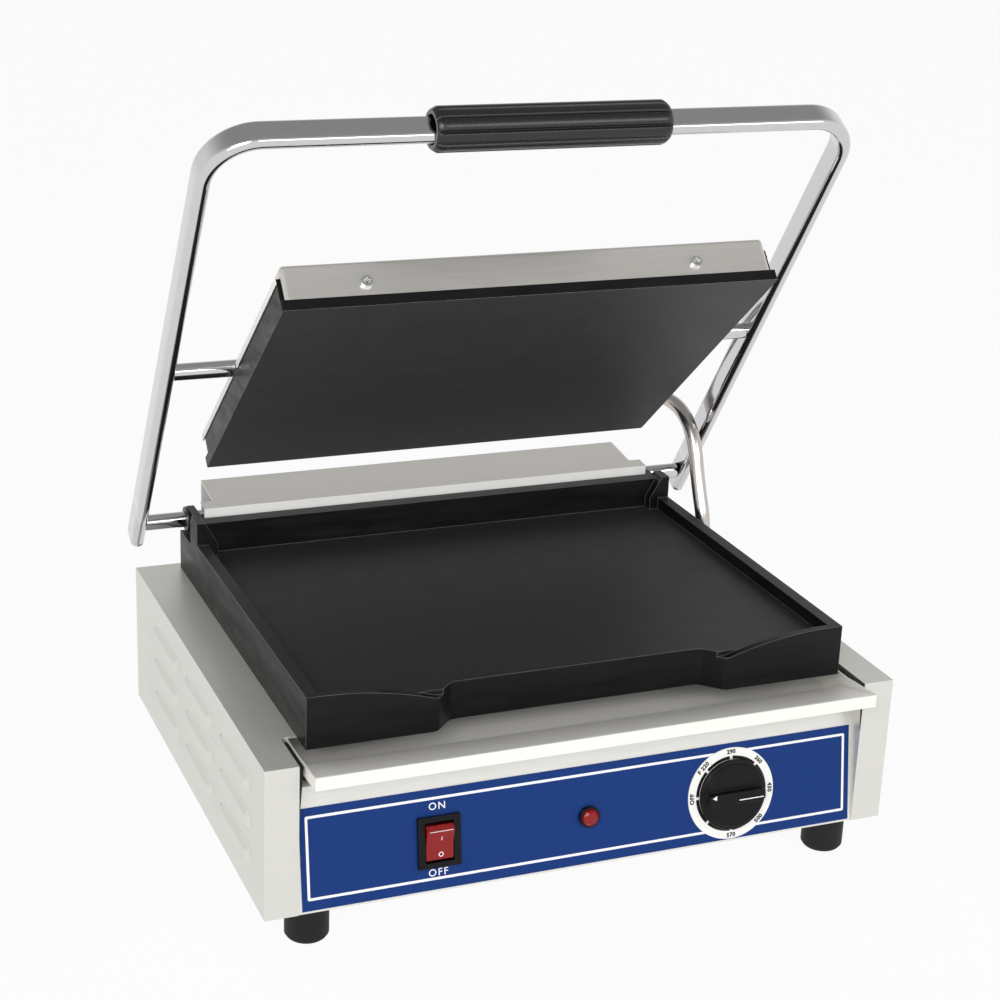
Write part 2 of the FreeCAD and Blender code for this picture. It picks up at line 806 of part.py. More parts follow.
def cable_gland():
    """Mains entry in the rear panel: thread, hexagon and dome with a clear bore, and its lock nut."""
    panel = "half_depth - panel_gauge"
    height = "foot_height + entry_height"
    inner = f"{panel} - 2 * panel_gauge - gland_nut"
    thread = rod("entry_thread_radius", "Y", ("entry_place", inner, height),
                 "2 * panel_gauge + gland_nut")
    collar = hexagon("2 * entry_thread_radius + 5", ("entry_place", panel, height), "Y", "entry_reach * 0.35")
    dome = rod("entry_thread_radius + 1.5", "Y", ("entry_place", panel, height), "entry_reach")
    bore = rod("entry_bore", "Y", ("entry_place", f"{inner} - 1", height),
               "2 * panel_gauge + gland_nut + entry_reach + 2")
    node("cable_gland", carve(join(thread, collar, dome), bore))


def gland_nuts():
    """Lock nuts that hold the mains gland and both conduit glands from behind."""
    inside = "half_depth - 2 * panel_gauge"
    height = "foot_height + entry_height"
    mains = carve(rod("entry_thread_radius + 4", "-Y", ("entry_place", inside, height), "gland_nut"),
                  rod("entry_thread_radius", "-Y", ("entry_place", inside, height), "gland_nut"))
    start = ("conduit_place", "conduit_back", "deck - panel_gauge")
    lower = carve(rod("gland_thread + 2.5", "-Z", start, "gland_nut"),
                  rod("gland_thread", "-Z", start, "gland_nut"))
    node("base_gland_nuts", bunch(mains, lower))
    top = ("conduit_lid_place", "conduit_lid_back", "upper_cover_top - cover_gauge")
    node("lid_gland_nut", on_lid(carve(rod("gland_thread + 2.5", "-Z", top, "gland_nut"),
                                       rod("gland_thread", "-Z", top, "gland_nut"))))


# ---------------------------------------------------------------- fascia and controls

def control_openings(body, lift, length):
    """Openings for the switch, lamp and thermostat bush through a sheet in the fascia frame."""
    holes = sketch_on(body, "XZ", lift)
    box_outline(holes, ("0 - switch_place - well_width / 2 - hole_gap",
                        "0 - switch_place + well_width / 2 + hole_gap"),
                ("control_height - well_rise / 2 - hole_gap", "control_height + well_rise / 2 + hole_gap"))
    circle(holes, "0", "control_height", "lamp_radius + hole_gap")
    circle(holes, "dial_place", "control_height", "thermostat_bush_radius + hole_gap")
    return pocket(body, holes, length)


def front_fascia():
    body = new_body("front_fascia")
    pad(body, box_outline(sketch_on(body, "XZ", "-fascia_gauge"), ("-flange_edge", "flange_edge"),
                          ("0", "fascia_rise")), "fascia_gauge")
    pad(body, box_outline(sketch_on(body, "XY", "fascia_rise - fascia_gauge"),
                          ("-flange_edge", "flange_edge"),
                          ("fascia_gauge / 2", "fascia_flange")), "fascia_gauge")
    for side in (-1, 1):
        ears = sketch_on(body, "XY", "fascia_lift")
        box_outline(ears, (f"{side} * flange_edge", f"{side} * (flange_edge - fascia_gauge)"),
                    ("fascia_gauge / 2", "fascia_flange"))
        pad(body, ears, "fascia_rise - fascia_lift")
    control_openings(body, "0", "fascia_gauge")
    on_fascia(body)


def control_label():
    body = new_body("control_label")
    pad(body, box_outline(sketch_on(body, "XZ"), ("0 - label_width / 2", "label_width / 2"),
                          ("label_bottom", "label_bottom + label_rise")), "label_gauge")
    control_openings(body, "label_gauge", "label_gauge")
    on_fascia(body)


def switch():
    """Rocker switch: bezel and well, spade terminals, and the rocker on its two stubs."""
    centre, level = "0 - switch_place", "control_height"
    body = new_body("switch_housing")

    def window(lift, width, rise):
        return box_outline(sketch_on(body, "XZ", lift),
                           (f"{centre} - ({width}) / 2", f"{centre} + ({width}) / 2"),
                           (f"{level} - ({rise}) / 2", f"{level} + ({rise}) / 2"))

    pad(body, window("label_gauge", "bezel_width", "bezel_rise"), "bezel_gauge")
    pad(body, window("-well_depth", "well_width", "well_rise"), "well_depth + label_gauge")
    pocket(body, window("label_gauge + bezel_gauge", "well_inner_width", "well_inner_rise"),
           "label_gauge + bezel_gauge + rocker_pivot_depth + rocker_reach")
    seats = circle(sketch_on(body, "YZ", centre), "rocker_pivot_depth", level,
                   "rocker_stub_radius + running_clearance")
    pocket(body, seats, "well_inner_width + 2 * (rocker_stub_seat + fit_gap)", both_ways=True)
    on_fascia(body)
    tabs = [brick((f"{centre} + {across} - 3", f"{centre} + {across} + 3"),
                  ("well_depth", "well_depth + 8"), (f"{level} + {up}", f"{level} + {up} + 0.8"))
            for across in (-5, 5) for up in (-8, 8)]
    node("switch_terminals", on_fascia(bunch(*tabs)))
    rocker(centre, level)


def rocker(centre, level):
    """Rocker in its off position: the upper half stands out, the lower half is pressed in."""
    body = new_body("switch_rocker")
    corners = [("-0.46", "0"), ("-0.58", "0.8"), ("-0.3", "0.93"), ("0.3", "0.7"),
               ("0.3", "-0.7"), ("-0.3", "-0.93"), ("-0.58", "-0.8")]
    turned = [(f"rocker_pivot_depth + rocker_reach * ({y} * cos(rocker_lean) - ({z}) * sin(rocker_lean))",
               f"{level} + rocker_reach * ({y} * sin(rocker_lean) + ({z}) * cos(rocker_lean))")
              for y, z in corners]
    pad(body, outline(sketch_on(body, "YZ", centre), turned), "rocker_width", both_ways=True)
    stubs = circle(sketch_on(body, "YZ", centre), "rocker_pivot_depth", level, "rocker_stub_radius")
    pad(body, stubs, "well_inner_width + 2 * rocker_stub_seat", both_ways=True)
    on_fascia(body)


def pilot_lamp():
    level = "control_height"
    body = rod("lamp_radius", "Y", ("0", "-label_gauge", level), "lamp_depth + label_gauge")
    bezel = rod("lamp_bezel_radius", "-Y", ("0", "-label_gauge", level), "lamp_bezel_rise")
    seat = rod("lamp_radius - 0.5", "-Y", ("0", "0", level), "label_gauge + lamp_bezel_rise + 1")
    node("lamp_body", on_fascia(carve(join(body, bezel), seat)))
    glass = rod("lamp_radius - 0.5", "-Y", ("0", "0", level), "label_gauge + lamp_bezel_rise + 1")
    node("lamp_lens", on_fascia(bunch(glass)))


def thermostat():
    """Thermostat with its threaded bush through the fascia, the dial plate, the spindle and the knob."""
    centre, level = "dial_place", "control_height"
    body = new_body("thermostat")
    case = box_outline(sketch_on(body, "XZ", "0 - fascia_gauge - thermostat_depth"),
                       (f"{centre} - thermostat_width / 2", f"{centre} + thermostat_width / 2"),
                       (f"{level} - thermostat_width / 2", f"{level} + thermostat_width / 2"))
    pad(body, case, "thermostat_depth")
    pad(body, circle(sketch_on(body, "XZ", "0 - fascia_gauge - 1"), centre, level, "thermostat_bush_radius"),
        "fascia_gauge + 1 + label_gauge + dial_gauge")
    bore = circle(sketch_on(body, "XZ", "label_gauge + dial_gauge"), centre, level,
                  "spindle_radius + running_clearance")
    pocket(body, bore, "knob_back + fascia_gauge + thermostat_depth / 2")
    on_fascia(body)
    plate = new_body("dial_plate")
    disc = circle(sketch_on(plate, "XZ", "label_gauge"), centre, level, "dial_radius")
    circle(disc, centre, level, "thermostat_bush_radius + hole_gap")
    pad(plate, disc, "dial_gauge")
    on_fascia(plate)
    depth = "knob_back + knob_rise * 0.6"
    spindle = rod("spindle_radius", "Y", (centre, f"0 - ({depth})", level),
                  f"{depth} + fascia_gauge + thermostat_depth / 3")
    node("thermostat_spindle", on_fascia(bunch(spindle)))
    knob(centre, level)


def knob(centre, level):
    """Control knob: skirt, drum and a raised grip bar, lying across at the off mark."""
    body = new_body("control_knob")
    pad(body, circle(sketch_on(body, "XZ", "knob_back"), centre, level, "knob_radius"), "knob_skirt")
    fillet(body, "knob_skirt * 0.3", lambda middle, edge: middle.y < -value("knob_back + knob_skirt / 2"))
    pad(body, circle(sketch_on(body, "XZ", "knob_back"), centre, level, "knob_radius * 0.9"),
        "knob_rise * 0.5")
    pad(body, box_outline(sketch_on(body, "XZ", "knob_back"),
                          (f"{centre} - knob_radius * 0.85", f"{centre} + knob_radius * 0.85"),
                          (f"{level} - knob_grip_width / 2", f"{level} + knob_grip_width / 2")),
        "knob_rise")
    fillet(body, "knob_grip_width * 0.35", lambda middle, edge: along(edge, "Y")
           and abs(middle.x - value(centre)) > value("knob_radius * 0.8"))
    bore = circle(sketch_on(body, "XZ", "knob_back"), centre, level, "spindle_radius")
    pocket(body, bore, "knob_rise * 0.6", backwards=True)
    on_fascia(body)


# ---------------------------------------------------------------- drip tray

def drip_tray():
    """Sliding catch tray: folded lip, shelf sloping back into a trough, end walls."""
    body = new_body("drip_tray")
    front, back, top, low = "tray_front", "tray_back", "tray_lip_top", "tray_floor"
    bend, step = f"{front} + tray_slope", f"{top} - tray_depth / 2"
    pad(body, outline(sketch_on(body, "YZ"), [
        (front, f"{top} - tray_lip"), (front, top), (f"{front} + 2 * tray_gauge", top),
        (bend, step), (f"{bend} + tray_depth / 2", low), (f"{back} - tray_gauge", low),
        (f"{back} - tray_gauge", "tray_wall_top"), (back, "tray_wall_top"),
        (back, f"{low} - tray_gauge"), (f"{bend} + tray_depth / 2 - tray_gauge", f"{low} - tray_gauge"),
        (f"{bend} - tray_gauge", f"{step} - tray_gauge"), (f"{front} + tray_gauge", f"{top} - tray_gauge"),
        (f"{front} + tray_gauge", f"{top} - tray_lip")]), "tray_width", both_ways=True)
    for lift in ("tray_width / 2 - tray_gauge", "0 - tray_width / 2"):
        pad(body, outline(sketch_on(body, "YZ", lift), [
            (front, f"{top} - tray_lip"), (front, top), (bend, "tray_wall_top"),
            (back, "tray_wall_top"), (back, f"{low} - tray_gauge"),
            (f"{bend} + tray_depth / 2 - tray_gauge", f"{low} - tray_gauge"),
            (f"{bend} - tray_gauge", f"{step} - tray_gauge")]), "tray_gauge")


def tray_rails():
    """Two folded rails hung under the top strips; the tray slides on them."""
    rails = []
    for side in (-1, 1):
        web = "tray_width / 2 + fit_gap"
        rail = bare_body()
        pad(rail, outline(sketch_on(rail, "XZ", "0 - tray_back - 2"), [
            (f"{side} * ({web})", "deck - panel_gauge"),
            (f"{side} * ({web} + tray_gauge)", "deck - panel_gauge"),
            (f"{side} * ({web} + tray_gauge)", "tray_floor - 2 * tray_gauge - fit_gap"),
            (f"{side} * ({web} - rail_width)", "tray_floor - 2 * tray_gauge - fit_gap"),
            (f"{side} * ({web} - rail_width)", "tray_floor - tray_gauge - fit_gap"),
            (f"{side} * ({web})", "tray_floor - tray_gauge - fit_gap")]),
            "tray_back + 2 - notch_line")
        rails.append(rail)
    node("tray_rails", bunch(*rails))


# ---------------------------------------------------------------- lower griddle

def lower_griddle():
    """Cast plate with raised rims, open spout at the front, hinge lugs and a recess below."""
    body = new_body("lower_griddle")
    front, back = "casting_front", "rear_wall_end"
    pad(body, outline(sketch_on(body, "XY", "deck"), [
        ("-casting_half", front), ("-ear_half", front), ("-spout_half", "spout_front"),
        ("spout_half", "spout_front"), ("ear_half", front), ("casting_half", front),
        ("casting_half", back), ("-casting_half", back)]), "rim_rise")
    fillet(body, "spout_setback * 0.6", lambda middle, edge: along(edge, "Z")
           and abs(middle.x) < value("ear_half + 1") and middle.y < 0)
    pocket(body, outline(sketch_on(body, "XY", "rim_level"), [
        ("-casting_inner", "rear_wall_place"), ("-casting_inner", f"{front} + ear_wall"),
        ("-ear_half", f"{front} + ear_wall"), ("-ear_half", f"{front} - 1"),
        ("ear_half", f"{front} - 1"), ("ear_half", f"{front} + ear_wall"),
        ("casting_inner", f"{front} + ear_wall"), ("casting_inner", "rear_wall_place")]),
        "rim_level - cook_level")
    pad(body, box_outline(sketch_on(body, "XY", "deck"), ("-casting_half", "casting_half"),
                          ("rear_wall_place", back)), "rear_wall_rise")
    griddle_ears(body)
    griddle_lugs(body)
    griddle_underside(body)


def griddle_ears(body):
    """Ears either side of the spout, their tops falling in a soft curve to the spout."""
    low = "cook_level - spout_drop"
    steps = [step / 8 for step in range(9)]
    curve = [(step, step * (2 - step)) for step in steps] + [(1, 1.2)]
    for side in (-1, 1):
        corners = [(f"{side} * (ear_half + {run} * ear_run)", f"{low} + {rise} * (rim_level - ({low}))")
                   for run, rise in curve]
        inner = f"{side} * (spout_half - spout_setback)"
        corners += [(inner, corners[-1][1]), (inner, low)]
        pocket(body, outline(sketch_on(body, "XZ", "-casting_front"), corners), "ear_wall")


def griddle_lugs(body):
    """Corner posts at the rear with sloping inner faces, then the lugs that carry the hinge bushes."""
    for side in (-1, 1):
        inner = f"{side} * (casting_half - corner_base)"
        pad(body, outline(sketch_on(body, "XZ", "0 - corner_start"), [
            (f"{side} * casting_half", "deck"), (f"{side} * casting_half", "deck + corner_rise"),
            (f"{side} * (casting_half - corner_top)", "deck + corner_rise"), (inner, "rim_level"),
            (inner, "deck")]), "corner_depth", backwards=True)
        pad(body, box_outline(sketch_on(body, "XY", "deck"),
                              (f"{side} * lug_inner", f"{side} * casting_half"),
                              ("rear_wall_end - 1", "lug_end - 4")), "lug_base_rise")
    for lift in ("lug_inner", "-lug_outer"):
        pad(body, outline(sketch_on(body, "YZ", lift), [
            ("rear_wall_end - 8", "deck"), ("rear_wall_end - 8", "deck + lug_rise"),
            ("lug_end - 5", "deck + lug_rise"), ("lug_end", "deck + lug_rise - 5"),
            ("lug_end", "deck")]), "lug_thickness")
    bores = circle(sketch_on(body, "YZ"), "hinge_place", "hinge_z", "bush_radius")
    pocket(body, bores, "2 * casting_half + 2", both_ways=True)


def griddle_underside(body):
    """Recess for the heating element, with blind holes for the clamp studs and housing bolts."""
    pocket(body, box_outline(sketch_on(body, "XY", "deck"),
                             ("recess_margin - casting_half", "casting_half - recess_margin"),
                             ("lower_centre - recess_half", "lower_centre + recess_half")),
           "recess_top - deck", backwards=True)
    studs = sketch_on(body, "XY", "recess_top")
    for x, y in corners_of("stud_place", ("lower_centre - element_pitch", "lower_centre + element_pitch")):
        circle(studs, x, y, "stud_radius")
    pocket(body, studs, "plate_thickness * 0.6", backwards=True)
    bolts = sketch_on(body, "XY", "deck")
    for x, y in corners_of("bolt_x", ("bolt_front", "bolt_back")):
        circle(bolts, x, y, "bolt_radius")
    pocket(body, bolts, "bolt_grip + 1", backwards=True)


def hinge_bushes():
    bushes = []
    for way, side in (("X", 1), ("-X", -1)):
        start = (f"{side} * lug_inner", "hinge_place", "hinge_z")
        lip = (f"{side} * lug_outer", "hinge_place", "hinge_z")
        sleeve = join(rod("bush_radius", way, start, "lug_thickness"),
                      rod("bush_radius + 2", way, lip, "bush_flange"))
        bushes.append(carve(sleeve, rod("shaft_radius + running_clearance", way, start,
                                        "lug_thickness + bush_flange")))
    node("hinge_bushes", bunch(*bushes))


def rear_hinge_cover():
    """Folded cover over the hinge shaft: front lip, top, rear wall and a foot on the deck."""
    body = new_body("rear_hinge_cover")
    lip, back, top, narrow = "rear_wall_end + cover_lip_gap", "cover_back", "cover_top", "cover_step"
    pad(body, outline(sketch_on(body, "YZ"), [
        (f"{lip} + cover_gauge", f"{top} - cover_fall - cover_gauge"),
        (f"{lip} + cover_gauge", f"{top} - cover_fall"),
        (back, top), (back, "deck"), ("cover_stud_y - 5", "deck"),
        ("cover_stud_y - 5", "deck + cover_gauge"), (f"{back} - cover_gauge", "deck + cover_gauge"),
        (f"{back} - cover_gauge", f"{top} - cover_gauge")]), "cover_narrow", both_ways=True)
    pad(body, outline(sketch_on(body, "YZ"), [
        (lip, f"{top} - cover_lip"), (lip, f"{top} - cover_fall"), (narrow, f"{top} - cover_fall * 0.75"),
        (narrow, f"{top} - cover_fall * 0.75 - cover_gauge"),
        (f"{lip} + cover_gauge", f"{top} - cover_fall - cover_gauge"),
        (f"{lip} + cover_gauge", f"{top} - cover_lip")]), "cover_wide", both_ways=True)
    fillet(body, "3", lambda middle, edge: along(edge, "Y") and middle.z < value(f"{top} - cover_lip + 1")
           and middle.y < value("cover_step"))
    studs = sketch_on(body, "XY", "deck + cover_gauge")
    for x in ("-cover_stud_x", "0", "cover_stud_x"):
        circle(studs, x, "cover_stud_y", "screw_radius")
    pocket(body, studs, "cover_gauge")
    screws = [screw(x, "cover_stud_y", "deck - panel_gauge", "down", "panel_gauge + 3 * cover_gauge")
              for x in ("-cover_stud_x", "0", "cover_stud_x")]
    node("rear_cover_screws", bunch(*screws))


# ---------------------------------------------------------------- heating elements

def heating_element(name, centre, level, leg):
    """Tube in four straight runs joined by bends; its two ends turn away from the plate on the left."""
    pitch, left, right = value("element_pitch"), value("0 - element_reach"), value("element_reach")
    rows = [value(centre) + step * pitch for step in (-1.5, -0.5, 0.5, 1.5)]
    tail, height = left - value("element_end"), value(level)
    end = height + value(leg)
    stops = [(tail, rows[1], end), (tail, rows[1], height), (tail, rows[0], height),
             (right, rows[0], height), (right, rows[1], height), (left, rows[1], height),
             (left, rows[2], height), (right, rows[2], height), (right, rows[3], height),
             (tail, rows[3], height), (tail, rows[3], end)]
    tube = pipe([Vector(*stop) for stop in stops], value("element_radius"), bend=pitch * 0.24)
    return node(name, feature(tube))


def element_clamp(part, centre, low, facing):
    """Sheet that presses an element against its plate, held by four nuts on studs."""
    half = "element_reach + element_radius"
    body = bare_body()
    sheet = box_outline(sketch_on(body, "XY", low), (f"0 - ({half})", half),
                        (f"{centre} - 2 * element_pitch + 6", f"{centre} + 2 * element_pitch - 6"))
    places = corners_of("stud_place", (f"{centre} - element_pitch", f"{centre} + element_pitch"))
    for x, y in places:
        circle(sheet, x, y, "stud_radius + hole_gap")
    pad(body, sheet, "clamp_gauge")
    level = low if facing == "down" else f"{low} + clamp_gauge"
    reach = "clamp_gauge + 2 * element_radius + plate_thickness * 0.4"
    nuts = bunch(*(nut(x, y, level, facing, reach) for x, y in places))
    return node(part + "_element_clamp", body), node(part + "_clamp_nuts", nuts)


def heat_shield():
    """Folded tray under the element, hung from the top strips."""
    body = new_body("heat_shield")
    top, low, gauge = "deck - panel_gauge", "deck - shield_depth", "cover_gauge"
    half = "strip_edge - 4"
    pad(body, outline(sketch_on(body, "XZ", "0 - shield_back"), [
        (f"0 - ({half}) - 5.5", top), (f"0 - ({half})", top), (f"0 - ({half})", f"{low} + {gauge}"),
        (half, f"{low} + {gauge}"), (half, top),
        (f"{half} + 5.5", top), (f"{half} + 5.5", f"{top} - {gauge}"),
        (f"{half} + {gauge}", f"{top} - {gauge}"), (f"{half} + {gauge}", low),
        (f"0 - ({half}) - {gauge}", low), (f"0 - ({half}) - {gauge}", f"{top} - {gauge}"),
        (f"0 - ({half}) - 5.5", f"{top} - {gauge}")]), "shield_back - shield_front")
    holes = sketch_on(body, "XY", low)
    for y in ("lower_centre - 0.5 * element_pitch", "lower_centre + 1.5 * element_pitch"):
        circle(holes, "0 - element_reach - element_end", y, "element_radius + 1")
    circle(holes, "capillary_x", "lower_centre", "bulb_radius")
    pocket(body, holes, gauge, backwards=True)


# ---------------------------------------------------------------- handle

def handle_frame():
    """Bent oval tube: two arms and the cross bar, with its ends closed by caps."""
    body = new_body("handle_frame")
    section = sketch_on(body, "XZ", "-arm_tail")
    oval(section, "-arm_half", "0", "arm_thickness", "arm_depth")
    oval(section, "-arm_half", "0", "arm_thickness - 2 * tube_wall", "arm_depth - 2 * tube_wall")
    tube = body.newObject("PartDesign::AdditivePipe", "Tube")
    tube.Profile = section
    tube.Spine = bar_path(body)
    on_handle(body)


def bar_path(body):
    """Centre line of the handle tube: up one arm, across the top and down the other."""
    path = sketch_on(body, "XY")
    half, tail, top, bend = (value(name) for name in ("arm_half", "arm_tail", "-arm_length", "corner_radius"))
    left = Part.Circle(Vector(bend - half, top + bend, 0), Vector(0, 0, 1), bend)
    right = Part.Circle(Vector(half - bend, top + bend, 0), Vector(0, 0, 1), bend)
    path.addGeometry(Part.LineSegment(Vector(-half, tail, 0), Vector(-half, top + bend, 0)))
    path.addGeometry(Part.ArcOfCircle(left, math.pi, 1.5 * math.pi))
    path.addGeometry(Part.LineSegment(Vector(bend - half, top, 0), Vector(half - bend, top, 0)))
    path.addGeometry(Part.ArcOfCircle(right, 1.5 * math.pi, 2 * math.pi))
    path.addGeometry(Part.LineSegment(Vector(half, top + bend, 0), Vector(half, tail, 0)))
    for first, second in ((0, 1), (1, 2), (2, 3), (3, 4)):
        path.addConstraint(Sketcher.Constraint("Tangent", first, 2, second, 1))
    pin_point(path, 0, 1, "-arm_half", "arm_tail")
    pin_point(path, 1, 3, "corner_radius - arm_half", "corner_radius - arm_length")
    pin_point(path, 3, 3, "arm_half - corner_radius", "corner_radius - arm_length")
    pin_point(path, 4, 2, "arm_half", "arm_tail")
    return path


def arm_end_caps():
    caps = []
    for side in (-1, 1):
        cap = bare_body()
        pad(cap, oval(sketch_on(cap, "XZ", "-arm_tail"), f"{side} * arm_half", "0",
                      "arm_thickness", "arm_depth"), "cap_rise", backwards=True)
        fillet(cap, "cap_rise * 0.45", lambda middle, edge: middle.y > value("arm_tail + cap_rise / 2"))
        pad(cap, oval(sketch_on(cap, "XZ", "-arm_tail"), f"{side} * arm_half", "0",
                      "arm_thickness - 2 * tube_wall", "arm_depth - 2 * tube_wall"), "cap_rise * 2")
        caps.append(cap)
    node("arm_end_caps", on_handle(bunch(*caps)))


def handle_grip():
    """Moulded grip round the cross bar, with ten shallow grooves along it."""
    body = new_body("handle_grip")
    centre = "-arm_length"
    pad(body, circle(sketch_on(body, "YZ"), centre, "0", "grip_radius"), "grip_length", both_ways=True)
    grooves = sketch_on(body, "YZ")
    for step in range(10):
        angle = 36 * step + 18
        circle(grooves, f"{centre} + (grip_radius + groove_radius / 2) * cos({angle})",
               f"(grip_radius + groove_radius / 2) * sin({angle})", "groove_radius")
    pocket(body, grooves, "grip_length - 8", both_ways=True)
    pocket(body, oval(sketch_on(body, "YZ"), centre, "0", "arm_thickness", "arm_depth"),
           "grip_length + 2", both_ways=True)
    on_handle(body)


def hinge_shaft():
    """Shaft between the arms, with the spring collars and their set screws."""
    shaft = rod("shaft_radius", "X", ("-arm_inner", "0", "0"), "2 * arm_inner")
    node("hinge_shaft", on_handle(bunch(shaft)))
    collars, screws = [], []
    for way, side in (("X", 1), ("-X", -1)):
        start = f"{side} * collar_place"
        ring = rod("collar_radius", way, (start, "0", "0"), "collar_width")
        bore = rod("shaft_radius", way, (start, "0", "0"), "collar_width")
        seat = rod("spring_wire / 2 + fit_gap", way,
                   (start, "spring_radius * cos(arm_angle)", "spring_radius * sin(arm_angle)"),
                   "collar_width * 0.75")
        middle = f"{side} * (collar_place + collar_width / 2)"
        tapped = rod("screw_radius", "Y", (middle, "shaft_radius", "0"), "collar_radius - shaft_radius")
        collars.append(carve(ring, bore, seat, tapped))
        screws.append(rod("screw_radius", "Y", (middle, "shaft_radius", "0"),
                          "collar_radius - shaft_radius - 1"))
    node("spring_collars", on_handle(bunch(*collars)))
    node("collar_screws", on_handle(bunch(*screws)))


def torsion_springs():
    """Two coiled springs round the hinge shaft: one leg rests on the deck, the other enters a collar."""
    radius, wire, pitch = value("spring_radius"), value("spring_wire") / 2, value("spring_pitch")
    length = pitch * value("spring_turns")
    axis_y, axis_z = value("hinge_place"), value("hinge_z")
    coil_path = Part.makeHelix(pitch, length, radius)
    section = Part.Wire(Part.makeCircle(wire, Vector(radius, 0, 0), Vector(0, 1, 0)))
    coil = Part.Wire(coil_path).makePipeShell([section], True, True)
    rest = value("deck + cover_gauge")
    foot = Part.makeCylinder(wire, axis_z - rest, Vector(radius, 0, 0), Vector(0, -1, 0))
    ball = Part.makeSphere(wire, Vector(radius, 0, 0))
    tip = Part.makeCylinder(wire, value("collar_width") * 0.6, Vector(radius, 0, length - wire / 2))
    spring = coil.fuse([foot, ball, tip])
    springs = []
    for side in (-1, 1):
        copy = spring.copy()
        if side < 0:
            copy = copy.mirror(Vector(0, 0, 0), Vector(0, 0, 1))
        turn = Rotation(Vector(0, 1, 0), Vector(0, 0, 1), Vector(1, 0, 0), "ZXY")
        copy.Placement = Placement(Vector(side * value("spring_place"), axis_y, axis_z), turn)
        springs.append(copy)
    return node("torsion_springs", feature(Part.makeCompound(springs)))


def pivot_pins():
    """Pins from the arms into the upper griddle's bosses, each kept by a ring on its inner end."""
    pins, rings = [], []
    for way, side in (("-X", 1), ("X", -1)):
        centre = ("0 - pin_distance", "0")
        pins.append(rod("pin_radius", way, (f"{side} * arm_inner", *centre), "arm_inner - pin_end"))
        start = f"{side} * (pin_end + ring_gauge + 0.8)"
        ring = rod("pin_radius + 0.6", way, (start, *centre), "ring_gauge")
        rings.append(carve(ring, rod("pin_radius", way, (start, *centre), "ring_gauge")))
    node("pivot_pins", on_handle(bunch(*pins)))
    node("pin_retaining_rings", on_handle(bunch(*rings)))


# ---------------------------------------------------------------- upper griddle

def upper_griddle():
    """Cast upper plate: thin edge, stepped sides, element recess and two bosses for the pins."""
    body = new_body("upper_griddle")
    pad(body, box_outline(sketch_on(body, "XY", "face"), ("-upper_half", "upper_half"),
                          ("-upper_front", "upper_back")), "upper_edge")
    fillet(body, "upper_corner", lambda middle, edge: along(edge, "Z"))
    height = "upper_body_top - face - upper_edge"
    for half, short in (("upper_body_half", "0"), ("upper_side_half", "cover_bend")):
        pad(body, box_outline(sketch_on(body, "XY", "face + upper_edge"), (f"0 - {half}", half),
                              (f"upper_body_front + {short}", f"upper_body_back - {short}")), height)
    pocket(body, box_outline(sketch_on(body, "XY", "upper_body_top"),
                             ("-upper_recess_half", "upper_recess_half"),
                             ("upper_centre - upper_recess_reach", "upper_centre + upper_recess_reach")),
           "upper_body_top - upper_recess_floor")
    for side in (-1, 1):
        pad(body, box_outline(sketch_on(body, "XY", "face + upper_edge"),
                              (f"{side} * boss_inner", f"{side} * upper_body_half"),
                              ("0 - boss_width / 2", "boss_width / 2")), "boss_top - face - upper_edge")
    bores = circle(sketch_on(body, "YZ"), "0", "0", "pin_radius + running_clearance")
    pocket(body, bores, "2 * upper_half", both_ways=True)
    studs = sketch_on(body, "XY", "upper_recess_floor")
    for x, y in corners_of("stud_place", ("upper_centre - element_pitch", "upper_centre + element_pitch")):
        circle(studs, x, y, "stud_radius")
    pocket(body, studs, "plate_thickness * 0.5")
    for lift, flipped in (("0 - upper_body_front", False), ("0 - upper_body_back", True)):
        taps = sketch_on(body, "XZ", lift)
        for x in ("-cover_screw_x", "cover_screw_x"):
            circle(taps, x, "cover_screw_z", "screw_radius")
        pocket(body, taps, "cover_screw_length", backwards=flipped)
    on_lid(body)


def upper_cover():
    """Sheet box over the upper griddle: deep flanges at the front and back, short ones at the sides."""
    body = new_body("upper_cover")
    low, rise = "upper_cover_bottom", "upper_cover_top - upper_cover_bottom"
    front, back = "upper_cover_front", "upper_cover_back"
    pad(body, box_outline(sketch_on(body, "XY", low), ("-upper_cover_half", "upper_cover_half"),
                          (front, back)), rise)
    fillet(body, "cover_bend", lambda middle, edge: along(edge, "Z") or middle.z > value("0"))
    pocket(body, box_outline(sketch_on(body, "XY", low),
                             ("cover_gauge - upper_cover_half", "upper_cover_half - cover_gauge"),
                             (f"{front} + cover_gauge", f"{back} - cover_gauge")),
           f"{rise} - cover_gauge", backwards=True)
    sides = box_outline(sketch_on(body, "YZ"), (f"{front} + cover_bend", f"{back} - cover_bend"),
                        (f"{low} - 1", "cover_side_low"))
    pocket(body, sides, "2 * upper_half", both_ways=True)
    notches = circle(sketch_on(body, "YZ"), "0", "0", "pin_radius + 0.6")
    pocket(body, notches, "2 * upper_half", both_ways=True)
    ends = sketch_on(body, "XZ")
    for x in ("-cover_screw_x", "cover_screw_x"):
        circle(ends, x, "cover_screw_z", "screw_radius + hole_gap")
    pocket(body, ends, "2 * upper_front + upper_back", both_ways=True)
    top = circle(sketch_on(body, "XY", "upper_cover_top"), "conduit_lid_place", "conduit_lid_back",
                 "gland_thread + hole_gap")
    pocket(body, top, "2 * cover_gauge")
    on_lid(body)


def upper_cover_screws():
    screws = []
    for side in (-1, 1):
        x = f"{side} * cover_screw_x"
        length = "cover_gauge + fit_gap + cover_screw_length - 2"
        screws.append(screw(x, "upper_cover_front", "cover_screw_z", "front", length))
        screws.append(screw(x, "upper_cover_back", "cover_screw_z", "back", length))
    node("upper_cover_screws", on_lid(bunch(*screws)))


